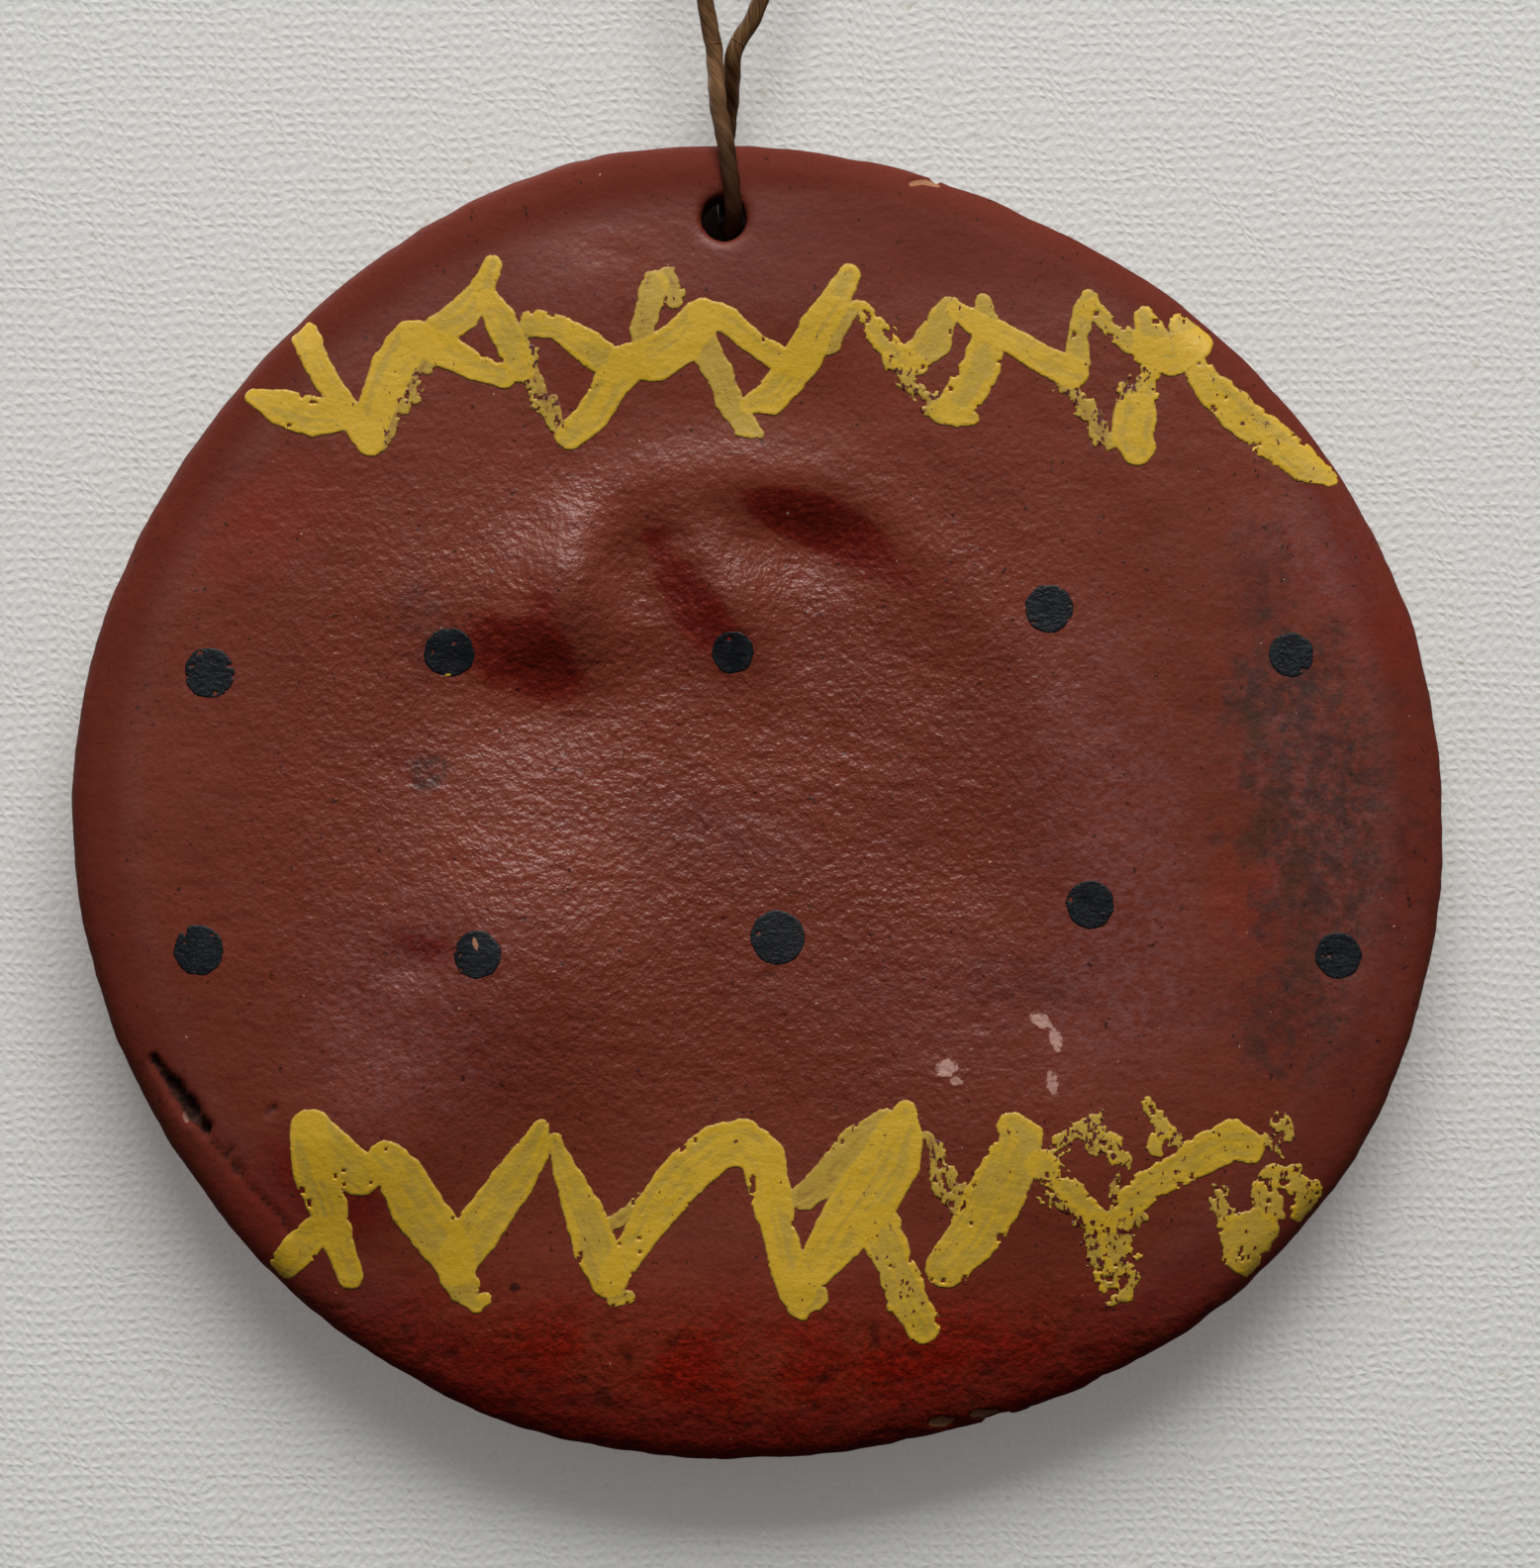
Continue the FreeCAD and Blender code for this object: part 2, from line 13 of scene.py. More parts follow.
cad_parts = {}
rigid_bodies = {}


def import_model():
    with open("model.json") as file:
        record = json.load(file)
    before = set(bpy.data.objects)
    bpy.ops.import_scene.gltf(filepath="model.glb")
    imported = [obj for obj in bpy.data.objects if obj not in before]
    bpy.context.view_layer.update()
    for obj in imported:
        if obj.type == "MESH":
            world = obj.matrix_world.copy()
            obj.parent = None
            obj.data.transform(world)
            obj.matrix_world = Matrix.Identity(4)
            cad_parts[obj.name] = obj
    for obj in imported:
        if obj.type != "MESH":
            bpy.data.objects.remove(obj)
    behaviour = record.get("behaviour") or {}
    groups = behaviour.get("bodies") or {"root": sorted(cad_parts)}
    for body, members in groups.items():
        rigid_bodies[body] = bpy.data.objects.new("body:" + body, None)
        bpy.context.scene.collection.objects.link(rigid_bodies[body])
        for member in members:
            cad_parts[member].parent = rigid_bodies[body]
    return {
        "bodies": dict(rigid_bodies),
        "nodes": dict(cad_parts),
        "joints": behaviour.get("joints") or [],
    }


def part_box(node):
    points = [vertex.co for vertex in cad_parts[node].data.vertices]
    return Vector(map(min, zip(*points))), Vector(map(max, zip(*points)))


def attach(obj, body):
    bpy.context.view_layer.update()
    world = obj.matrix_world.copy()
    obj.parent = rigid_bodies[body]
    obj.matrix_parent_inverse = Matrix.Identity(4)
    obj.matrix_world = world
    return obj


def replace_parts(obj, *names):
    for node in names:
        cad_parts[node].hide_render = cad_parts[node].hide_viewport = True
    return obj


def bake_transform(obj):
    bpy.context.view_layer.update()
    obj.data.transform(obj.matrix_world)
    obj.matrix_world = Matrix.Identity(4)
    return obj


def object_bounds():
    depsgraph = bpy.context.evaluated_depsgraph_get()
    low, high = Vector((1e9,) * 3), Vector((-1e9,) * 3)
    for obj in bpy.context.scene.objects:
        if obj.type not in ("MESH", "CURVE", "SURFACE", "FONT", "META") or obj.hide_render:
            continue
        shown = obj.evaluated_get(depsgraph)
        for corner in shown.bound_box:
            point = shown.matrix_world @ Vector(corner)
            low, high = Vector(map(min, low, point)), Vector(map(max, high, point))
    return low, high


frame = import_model()
cad_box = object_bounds()

MM = 0.001
DISC_LOW, DISC_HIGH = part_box("clay_disc")
DISC_WIDTH = DISC_HIGH.x - DISC_LOW.x
DISC_HEIGHT = DISC_HIGH.z - DISC_LOW.z
FRONT_SIDE = -1
JOINTS = {joint["name"]: joint for joint in frame["joints"]}


# ---------------------------------------------------------------- noise

LATTICE_SIZE = 32
LATTICE = np.random.default_rng(11).uniform(-1.0, 1.0, (LATTICE_SIZE,) * 3)


def noise(points, cell, salt=0.0):
    """Smooth noise between -1 and 1 at rows of points in mm; cell is its grain, one length or three."""
    place = points / np.asarray(cell) + salt
    low = np.floor(place).astype(int)
    part = place - low
    part = part * part * (3.0 - 2.0 * part)
    total = np.zeros(len(points))
    for corner in np.ndindex(2, 2, 2):
        weight = np.prod(np.where(corner, part, 1.0 - part), axis=1)
        spot = (low + corner) % LATTICE_SIZE
        total += weight * LATTICE[spot[:, 0], spot[:, 1], spot[:, 2]]
    return total


def rough_noise(points, cell, octaves, salt=0.0):
    """Noise with finer and weaker noise laid over it."""
    total, share = np.zeros(len(points)), 1.0
    for octave in range(octaves):
        total += share * noise(points, np.asarray(cell) / 2.0**octave, salt + 7.3 * octave)
        share *= 0.5
    return total


def soft_step(value, low, high):
    """0 below low, 1 above high, smooth between them."""
    share = np.clip((value - low) / (high - low), 0.0, 1.0)
    return share * share * (3.0 - 2.0 * share)


def middle(low, high):
    return (low + high) / 2.0


def joint_height(name):
    """Height in mm of a joint's axis."""
    return JOINTS[name]["pos_m"][2] / MM


HOLE_X, HOLE_Z = JOINTS["disc_rock"]["pos_m"][0] / MM, joint_height("disc_rock")


# ---------------------------------------------------------------- meshes

def mesh_object(name, points, quads):
    """A smooth-shaded object from rows of points in metres and rows of four corner numbers."""
    mesh = bpy.data.meshes.new(name)
    mesh.vertices.add(len(points))
    mesh.vertices.foreach_set("co", np.asarray(points, np.float32).ravel())
    mesh.loops.add(quads.size)
    mesh.loops.foreach_set("vertex_index", quads.astype(np.int32).ravel())
    mesh.polygons.add(len(quads))
    mesh.polygons.foreach_set("loop_start", np.arange(0, quads.size, 4, dtype=np.int32))
    mesh.update(calc_edges=True)
    mesh.validate()
    mesh.shade_smooth()
    piece = bpy.data.objects.new(name, mesh)
    bpy.context.scene.collection.objects.link(piece)
    return piece


def read_points(mesh):
    points = np.empty(len(mesh.vertices) * 3, np.float32)
    mesh.vertices.foreach_get("co", points)
    return points.reshape(-1, 3).astype(float)


def read_normals(mesh):
    normals = np.empty(len(mesh.vertices) * 3, np.float32)
    mesh.vertex_normals.foreach_get("vector", normals)
    return normals.reshape(-1, 3).astype(float)


def set_attribute(mesh, name, values):
    layer = mesh.attributes.new(name, "FLOAT", "POINT")
    layer.data.foreach_set("value", np.asarray(values, np.float32))


def baked(piece):
    """The piece with its modifiers applied."""
    depsgraph = bpy.context.evaluated_depsgraph_get()
    mesh = bpy.data.meshes.new_from_object(piece.evaluated_get(depsgraph))
    piece.modifiers.clear()
    piece.data = mesh
    return piece


def way_to_line(across, up, line):
    """For each place: distance to a line of (across, up) points, and how far along it that is."""
    best = np.full(len(across), np.inf)
    along = np.zeros(len(across))
    side = np.zeros(len(across))
    start = 0.0
    for (a_x, a_z), (b_x, b_z) in zip(line, line[1:]):
        step_x, step_z = b_x - a_x, b_z - a_z
        length = math.hypot(step_x, step_z)
        share = ((across - a_x) * step_x + (up - a_z) * step_z) / length**2
        share = np.clip(share, 0.0, 1.0)
        off_x, off_z = across - a_x - share * step_x, up - a_z - share * step_z
        distance = np.hypot(off_x, off_z)
        nearer = distance < best
        best = np.where(nearer, distance, best)
        along = np.where(nearer, start + share * length, along)
        side = np.where(nearer, (off_z * step_x - off_x * step_z) / length, side)
        start += length
    return best, along, side


def lengths_along(line):
    """How far along a line each of its points lies."""
    return np.cumsum([0.0] + [math.dist(a, b) for a, b in zip(line, line[1:])])


# ---------------------------------------------------------------- pressed clay

CLAY_VOXEL = 0.28
# within this of the hole's axis only the last, light smoothing is done (mm)
CRISP_ROUND_HOLE = 2.6

# hollows and mounds: across, up, spread across, spread up, turn in degrees, height (all mm)
BLOBS = [
    (-1.5, 12.5, 9.0, 8.0, 0.0, -0.60),
    (-9.9, 12.2, 2.0, 3.2, 0.0, 0.62),
    (-0.5, 11.4, 2.1, 2.9, 20.0, 0.40),
    (-13.0, 4.8, 6.8, 3.2, 8.0, -0.26),
    (-13.4, -9.8, 7.4, 7.8, 12.0, 1.40),
    (-21.8, -18.0, 4.8, 4.6, 24.0, 0.80),
    (-18.8, -8.4, 2.2, 1.3, 0.0, -0.32),
    (9.8, -2.4, 6.4, 3.4, -14.0, -0.24),
    (15.4, -18.0, 7.0, 5.4, 0.0, 0.50),
    (-9.2, 27.8, 4.4, 4.0, 0.0, 0.40),
    (3.0, 28.0, 3.8, 3.4, 0.0, 0.30),
    (27.5, 8.0, 4.0, 6.0, 0.0, -0.20),
    (27.0, -6.0, 3.0, 7.0, 6.0, -0.16),
]
# ridges pushed up beside the finger marks, and grooves where the height is negative:
# points as (across, up, height), the spread on the line's left and the spread on its right (mm)
RIDGES = [
    ([(-11.8, 11.0, 0.40), (-11.2, 13.2, 0.62), (-9.8, 15.4, 0.66), (-7.4, 17.0, 0.60), (-4.2, 18.0, 0.58),
      (-0.6, 18.3, 0.58), (3.8, 17.6, 0.52), (7.4, 15.8, 0.38), (10.6, 12.8, 0.28), (14.4, 8.0, 0.22),
      (16.8, 3.0, 0.22), (18.2, -3.0, 0.20), (18.6, -10.0, 0.0)], 2.1, 2.3),
    ([(-1.4, 16.4, 0.0), (0.8, 15.2, -0.44), (3.4, 14.2, -0.44), (6.4, 12.9, 0.0)], 2.0, 2.1),
    ([(-4.8, 17.8, 0.1), (-4.2, 16.0, 0.6), (-3.3, 14.2, 1.0), (-2.1, 12.0, 0.9), (-1.0, 9.8, 0.55),
      (0.2, 7.0, 0.2), (1.4, 4.4, 0.0)], 1.9, 2.9),
    ([(-17.4, 10.9, 0.2), (-14.2, 10.9, 0.7), (-11.6, 10.0, 0.8), (-9.4, 8.4, 0.62), (-7.8, 6.4, 0.2)],
     4.6, 3.3),
]
# how far the face falls away towards the rim: at the bottom, at the top and at the sides (mm)
FALL_BOTTOM, FALL_TOP, FALL_SIDE = 1.35, 0.0, 0.15
FALL_START = 0.72
# how much squarer than the CAD disc the front edge is, from 0 to 1
EDGE_FULLNESS = 0.6


def from_middle(across, up):
    """Place on the disc as shares of its half width and half height."""
    right = (across - middle(DISC_LOW.x, DISC_HIGH.x) / MM) / (DISC_WIDTH / 2.0 / MM)
    above = (up - middle(DISC_LOW.z, DISC_HIGH.z) / MM) / (DISC_HEIGHT / 2.0 / MM)
    return right, above


def rim_reach(across, up):
    """0 in the middle of the disc and about 1 at its rim."""
    return np.hypot(*from_middle(across, up))


def edge_fall(across, up):
    """How far the front face has sunk below its middle, from how near the rim each place is."""
    _, above = from_middle(across, up)
    reach = rim_reach(across, up)
    upright = (above / np.maximum(reach, 1e-6)) ** 2
    end_fall = np.where(above < 0.0, FALL_BOTTOM, FALL_TOP)
    deepest = FALL_SIDE + (end_fall - FALL_SIDE) * upright
    return deepest * np.clip((reach - FALL_START) / (1.0 - FALL_START), 0.0, 1.2) ** 2


def relief(across, up):
    """Height in mm that finger marks add to the front face."""
    height = np.zeros(len(across))
    for centre_x, centre_z, spread_x, spread_z, turn, tall in BLOBS:
        cosine, sine = math.cos(math.radians(turn)), math.sin(math.radians(turn))
        away_x, away_z = across - centre_x, up - centre_z
        long_way = (away_x * cosine + away_z * sine) / spread_x
        short_way = (away_z * cosine - away_x * sine) / spread_z
        height += tall * np.exp(-(long_way**2) - short_way**2)
    for line, left_spread, right_spread in RIDGES:
        places = [(x, z) for x, z, _ in line]
        distance, along, side = way_to_line(across, up, places)
        tall = np.interp(along, lengths_along(places), [high for _, _, high in line])
        spread = right_spread + (left_spread - right_spread) * soft_step(side, -0.5, 0.5)
        height += tall * np.exp(-((distance / spread) ** 2))
    return height


# where the skin is wrinkled most: across, up, spread across, spread up (mm)
WRINKLED = (-4.5, 0.5, 24.0, 19.5)
# heights between which the face turns dull, and painted darker as shade, towards the top, and where across
# it stays glossy (mm)
DULL_TOP = (25.0, 30.0)
GLOSSY_AT, GLOSSY_SPREAD = -7.0, 7.0
# the lower edge turns coarse and pitted between these depths (mm under the disc's origin)
COARSE_EDGE = (23.0, 31.0)
# grain of the skin: how far it stands out everywhere, where wrinkled and where coarse (mm)
GRAIN_HEIGHT, WRINKLE_HEIGHT, COARSE_HEIGHT = 0.012, 0.014, 0.02
PIT_DEPTH, CRACK_DEPTH, CHIP_DEPTH, GOUGE_DEPTH = 0.07, 0.2, 0.3, 0.75
# unevenness of the whole skin, of the back (broad and fine) and of the rim (mm)
SKIN_UNEVEN, BACK_UNEVEN, BACK_FINE, RIM_UNEVEN = 0.05, 0.12, 0.035, 0.10
# how much of the sideways slope counts beside the upright one where shade is painted as a deeper red
SIDEWAYS_SHARE = 0.8
# where the rim turns matt and is painted darker as shade, in shares of the disc's half size
MATT_SHADED_RIM = (0.87, 0.95)

GOUGE = [(-33.3, -13.8), (-32.5, -15.0), (-31.6, -16.2), (-30.6, -17.6)]
# half widths of the gouge at its upper end, below its middle and at its lower end (mm)
GOUGE_WIDTHS = (0.34, 0.72, 0.40)
GOUGE_LENGTH = 4.7
# points of each crack as (across, up), then its width (mm)
CRACKS = [
    ([(-30.6, -17.6), (-29.6, -18.9), (-28.3, -20.4), (-27.4, -21.6), (-26.4, -22.4), (-25.8, -23.3)],
     0.15),
    ([(-27.0, -16.7), (-26.6, -16.3)], 0.12),
    ([(-29.2, -19.0), (-28.9, -18.7)], 0.10),
    ([(0.2, -9.0), (1.0, -9.1)], 0.07),
]
# chips knocked off the rim: across, up, size across, size up (mm)
CHIPS = [(9.2, 34.75, 0.9, 0.28), (10.2, -33.9, 0.7, 0.3), (12.9, -33.6, 1.2, 0.4)]


def clay_copy():
    """An even fine mesh over the CAD disc, its facets smoothed away, and only lightly so round the hole."""
    piece = bpy.data.objects.new("pressed_clay", frame["nodes"]["clay_disc"].data.copy())
    bpy.context.scene.collection.objects.link(piece)
    remesh = piece.modifiers.new("even_mesh", "REMESH")
    remesh.mode = "VOXEL"
    remesh.voxel_size = CLAY_VOXEL * MM
    baked(piece)
    points = read_points(piece.data) / MM
    from_hole = np.hypot(points[:, 0] - HOLE_X, points[:, 2] - HOLE_Z)
    group = piece.vertex_groups.new(name="away_from_hole")
    group.add(np.flatnonzero(from_hole > CRISP_ROUND_HOLE).tolist(), 1.0, "REPLACE")
    soften = piece.modifiers.new("soften", "SMOOTH")
    soften.iterations = 8
    soften.vertex_group = group.name
    ease = piece.modifiers.new("ease", "SMOOTH")
    ease.iterations = 2
    return baked(piece)


def shape_clay(piece):
    """Moves the clay's points for finger marks, grain, gouge, cracks and chips.

    What the material needs is kept as attributes. "painted_shade" is where the face turns downwards
    or to the left, away from the light, and the material paints shade there as a deeper red;
    "matte" is the rubbed, matt band along the rim and the dull stretch at the top, where the
    material also paints shade by darkening the red.
    """
    mesh = piece.data
    points, normals = read_points(mesh) / MM, read_normals(mesh)
    across, up = points[:, 0], points[:, 2]
    facing = soft_step(-normals[:, 1], 0.1, 0.8)
    behind = soft_step(normals[:, 1], 0.1, 0.8)
    ahead = np.clip(points[:, 1] / (DISC_LOW.y / MM), 0.0, 1.0)
    fuller = EDGE_FULLNESS * ahead * (1.0 - ahead) * soft_step(ahead, 0.3, 0.6)
    points[:, 1] += fuller * DISC_LOW.y / MM
    sunk = edge_fall(across, up) * ahead
    lift = relief(across, up) * facing
    centre_x, centre_z, wide, tall = WRINKLED
    wrinkled = np.exp(-(((across - centre_x) / wide) ** 4) - ((up - centre_z) / tall) ** 4)
    coarse = soft_step(-up, *COARSE_EDGE)
    wrinkled = np.maximum(wrinkled, coarse)
    lift += SKIN_UNEVEN * rough_noise(points, (5.0, 5.0, 4.0), 3, 3.0)
    grain = noise(points, (1.5, 0.8, 0.9), 21.0) + 0.7 * noise(points, (0.9, 0.6, 0.55), 33.0)
    lift += (GRAIN_HEIGHT + WRINKLE_HEIGHT * wrinkled + COARSE_HEIGHT * coarse) * grain
    pits = soft_step(noise(points, (0.8, 0.8, 0.5), 101.0), 0.35, 0.75) * coarse
    lift -= PIT_DEPTH * pits
    lift += behind * BACK_UNEVEN * rough_noise(points, (9.0, 5.0, 9.0), 2, 51.0)
    lift += behind * BACK_FINE * rough_noise(points, 1.8, 2, 111.0)
    edge = 1.0 - facing - behind
    lift += edge * RIM_UNEVEN * rough_noise(points, (2.6, 3.5, 2.6), 3, 61.0)

    wander = np.stack([across + 0.16 * noise(points, 0.5, 71.0), up + 0.16 * noise(points, 0.5, 81.0)])
    distance, along, _ = way_to_line(wander[0], wander[1], GOUGE)
    half_width = np.interp(along / GOUGE_LENGTH, (0.0, 0.65, 1.0), GOUGE_WIDTHS)
    gouge = 1.0 - soft_step(distance / half_width, 0.3, 1.0)
    crack = np.zeros(len(points))
    for line, width in CRACKS:
        distance, _, _ = way_to_line(wander[0], wander[1], line)
        crack = np.maximum(crack, 1.0 - soft_step(distance, 0.2 * width, width + 0.16))
    on_front = points[:, 1] < 0.45 * DISC_LOW.y / MM
    gouge *= on_front
    crack *= on_front
    lift -= GOUGE_DEPTH * gouge * (0.8 + 0.5 * noise(points, 0.5, 91.0)) + CRACK_DEPTH * crack
    bare = np.zeros(len(points))
    for centre_x, centre_z, wide, tall in CHIPS:
        away = np.hypot((wander[0] - centre_x) / wide, (wander[1] - centre_z) / tall)
        bare = np.maximum(bare, (1.0 - soft_step(away, 0.7, 1.1)) * on_front)
    lift -= CHIP_DEPTH * bare
    moved = points + normals * lift[:, None]
    moved[:, 1] -= FRONT_SIDE * sunk
    mesh.vertices.foreach_set("co", (moved * MM).astype(np.float32).ravel())
    mesh.update()
    mesh.shade_smooth()
    # slopes that face down, or to the left, away from the light above and a little to the right, get a
    # painted shade: the material paints them a deeper red
    step = 0.3
    higher = relief(across, up + step) - edge_fall(across, up + step)
    lower = relief(across, up - step) - edge_fall(across, up - step)
    sideways = relief(across + step, up) - relief(across - step, up)
    turned = (higher - lower) + SIDEWAYS_SHARE * sideways
    dull_shaded_top = soft_step(up, *DULL_TOP) * (1.0 - np.exp(-(((across - GLOSSY_AT) / GLOSSY_SPREAD) ** 2)))
    kept = {
        "gouge": gouge,
        "crack": crack,
        "bare": bare,
        "behind": behind,
        "wrinkled": wrinkled,
        "coarse": coarse * (1.0 - behind),
        "pits": pits,
        "painted_shade": soft_step(turned / (2.0 * step), 0.06, 0.30) * facing,
        "matte": np.maximum(soft_step(rim_reach(across, up), *MATT_SHADED_RIM), 0.8 * dull_shaded_top),
    }
    for name, values in kept.items():
        set_attribute(mesh, name, values)
    return piece


MAP_STEP = 0.15


class FrontMap:
    """Depth (Y, mm) of the front surface on an even grid over the disc. Gaps have a weight of zero."""

    def __init__(self, piece):
        tree = BVHTree.FromObject(piece, bpy.context.evaluated_depsgraph_get())
        self.low = np.array([DISC_LOW.x, DISC_LOW.z]) / MM - 1.0
        high = np.array([DISC_HIGH.x, DISC_HIGH.z]) / MM + 1.0
        counts = np.ceil((high - self.low) / MAP_STEP).astype(int)
        depth, weight = np.zeros(counts), np.zeros(counts)
        ahead, start_depth = Vector((0, 1, 0)), DISC_LOW.y - 5 * MM
        for column in range(counts[0]):
            place_x = (self.low[0] + column * MAP_STEP) * MM
            for row in range(counts[1]):
                place_z = (self.low[1] + row * MAP_STEP) * MM
                hit = tree.ray_cast(Vector((place_x, start_depth, place_z)), ahead)[0]
                if hit is not None:
                    depth[column, row] = hit.y / MM
                    weight[column, row] = 1.0
        self.depth, self.weight = self.smoothed(depth * weight, weight), weight

    @staticmethod
    def smoothed(total, weight):
        """Three-point smoothing along both ways that leaves the gaps out."""
        share = weight.copy()
        for _ in range(2):
            for way in (0, 1):
                total = (np.roll(total, 1, way) + 2.0 * total + np.roll(total, -1, way)) / 4.0
                share = (np.roll(share, 1, way) + 2.0 * share + np.roll(share, -1, way)) / 4.0
        return total / np.maximum(share, 1e-6)

    def read(self, grid, across, up):
        """Values of one of the two grids at any places, blended between grid points."""
        place_x = np.clip((across - self.low[0]) / MAP_STEP, 0, grid.shape[0] - 1.001)
        place_z = np.clip((up - self.low[1]) / MAP_STEP, 0, grid.shape[1] - 1.001)
        column, row = place_x.astype(int), place_z.astype(int)
        right, above = place_x - column, place_z - row
        lower = grid[column, row] * (1 - right) + grid[column + 1, row] * right
        upper = grid[column, row + 1] * (1 - right) + grid[column + 1, row + 1] * right
        return lower * (1 - above) + upper * above


# ---------------------------------------------------------------- paint

# brush marks: points of the centre line as (across, up, half width) in mm, then dryness and cover
UPPER_MARKS = [
    ([(-27.9, 22.8, 0.44), (-26.5, 22.3, 0.99), (-24.6, 21.7, 1.13), (-22.9, 21.7, 0.83)], 0.0, 1.0),
    ([(-25.0, 26.2, 0.83), (-24.2, 24.4, 0.74), (-23.2, 22.8, 0.72), (-21.4, 20.2, 0.72)], 0.0, 1.0),
    ([(-21.4, 20.3, 0.77), (-21.0, 22.2, 1.05), (-20.2, 24.3, 1.21), (-19.2, 25.8, 1.16)], 0.0, 1.0),
    ([(-20.7, 20.2, 0.44), (-19.8, 22.2, 0.66), (-18.3, 24.6, 0.66)], 0.5, 0.5),
    ([(-18.8, 26.1, 0.94), (-17.4, 25.4, 0.99), (-15.7, 24.5, 0.77), (-14.0, 23.9, 0.69)], 0.0, 1.0),
    ([(-17.5, 26.4, 0.94), (-16.2, 27.4, 0.94), (-15.3, 28.5, 0.77), (-14.6, 30.1, 0.5)], 0.0, 0.9),
    ([(-14.9, 28.1, 0.66), (-14.2, 27.0, 0.88), (-13.4, 25.3, 0.94), (-13.1, 24.4, 0.88)], 0.0, 0.9),
    ([(-12.4, 26.8, 0.77), (-11.1, 26.6, 0.72), (-9.6, 25.7, 0.94), (-8.1, 24.5, 0.99)], 0.0, 0.9),
    ([(-12.6, 25.5, 0.55), (-12.4, 23.9, 0.5), (-11.7, 22.4, 0.61), (-10.8, 21.1, 0.66)], 0.6, 0.55),
    ([(-10.4, 20.6, 0.77), (-9.1, 21.7, 0.94), (-8.2, 23.3, 0.99), (-7.2, 24.6, 1.1)], 0.0, 0.95),
    ([(-6.9, 24.7, 1.05), (-5.6, 24.9, 1.32), (-4.2, 25.8, 1.21), (-3.2, 27.0, 1.16)], 0.0, 1.0),
    ([(-5.7, 29.0, 0.77), (-6.0, 27.7, 0.72), (-6.4, 26.1, 0.66)], 0.15, 0.6),
    ([(-5.0, 29.4, 0.55), (-4.6, 28.6, 0.55), (-4.6, 28.0, 0.44)], 0.2, 0.55),
    ([(-3.1, 27.4, 0.83), (-1.7, 27.0, 0.77), (-0.2, 25.7, 0.66),
      (1.3, 24.8, 0.72), (2.4, 24.8, 0.83)], 0.0, 1.0),
    ([(-3.1, 25.8, 0.88), (-2.1, 23.9, 0.77), (-1.6, 22.5, 0.77),
      (-0.8, 21.3, 0.72), (0.1, 20.7, 0.33)], 0.15, 0.65),
    ([(-0.6, 22.3, 0.5), (0.7, 22.7, 0.94), (1.7, 23.9, 1.05), (2.5, 25.0, 1.1)], 0.0, 0.95),
    ([(2.4, 24.8, 1.1), (3.3, 26.6, 0.99), (4.4, 28.3, 0.83), (5.0, 29.4, 0.66)], 0.0, 1.0),
    ([(3.9, 25.7, 0.72), (4.5, 26.7, 0.55), (5.1, 27.4, 0.44)], 0.1, 0.6),
    ([(5.5, 27.6, 0.55), (6.6, 26.4, 0.72), (7.7, 25.2, 0.77), (9.0, 24.4, 0.5)], 0.3, 0.9),
    ([(7.4, 24.8, 0.55), (8.6, 23.3, 0.66), (9.5, 22.2, 0.72)], 0.6, 0.6),
    ([(10.5, 27.7, 0.61), (10.1, 26.9, 0.83), (9.6, 25.8, 1.1), (9.0, 25.2, 0.94)], 0.1, 0.75),
    ([(12.7, 25.9, 0.94), (12.3, 24.4, 1.1), (11.5, 23.1, 1.16), (10.8, 22.2, 0.99)], 0.0, 0.95),
    ([(11.7, 21.6, 0.5), (11.0, 21.7, 0.55), (10.0, 21.9, 0.66)], 0.1, 0.8),
    ([(12.4, 27.9, 0.5), (12.6, 26.9, 0.72)], 0.1, 0.65),
    ([(10.8, 27.6, 0.5), (12.0, 26.8, 0.72), (14.3, 25.7, 0.77),
      (15.9, 24.7, 0.83), (17.3, 24.1, 0.94)], 0.0, 1.0),
    ([(17.6, 24.7, 0.72), (17.6, 26.1, 0.61), (18.0, 27.5, 0.61), (18.3, 28.2, 0.5)], 0.15, 0.75),
    ([(17.0, 23.3, 0.66), (18.1, 22.0, 0.72), (19.1, 20.6, 0.72)], 0.55, 0.6),
    ([(18.4, 27.6, 0.61), (19.5, 26.6, 0.61), (20.7, 25.8, 0.72)], 0.35, 0.8),
    ([(21.3, 27.1, 0.66), (21.7, 25.9, 1.1)], 0.1, 0.85),
    ([(23.3, 26.8, 0.66), (23.9, 25.8, 1.1)], 0.1, 0.8),
    ([(21.4, 25.3, 0.83), (22.8, 25.0, 1.1), (24.2, 25.7, 0.94)], 0.0, 1.0),
    ([(21.4, 24.1, 0.66), (20.6, 23.3, 0.61), (20.0, 22.9, 0.39)], 0.75, 0.7),
    ([(21.7, 24.4, 0.55), (21.5, 22.8, 0.5)], 0.2, 0.9),
    ([(20.8, 21.9, 1.16), (20.6, 20.7, 1.21), (20.9, 20.0, 0.99)], 0.0, 0.95),
    ([(24.2, 24.3, 0.77), (25.1, 23.1, 0.99), (26.7, 21.7, 1.1),
      (28.6, 20.2, 1.1), (30.2, 19.0, 1.05), (31.5, 18.5, 0.66)], 0.2, 0.95),
]
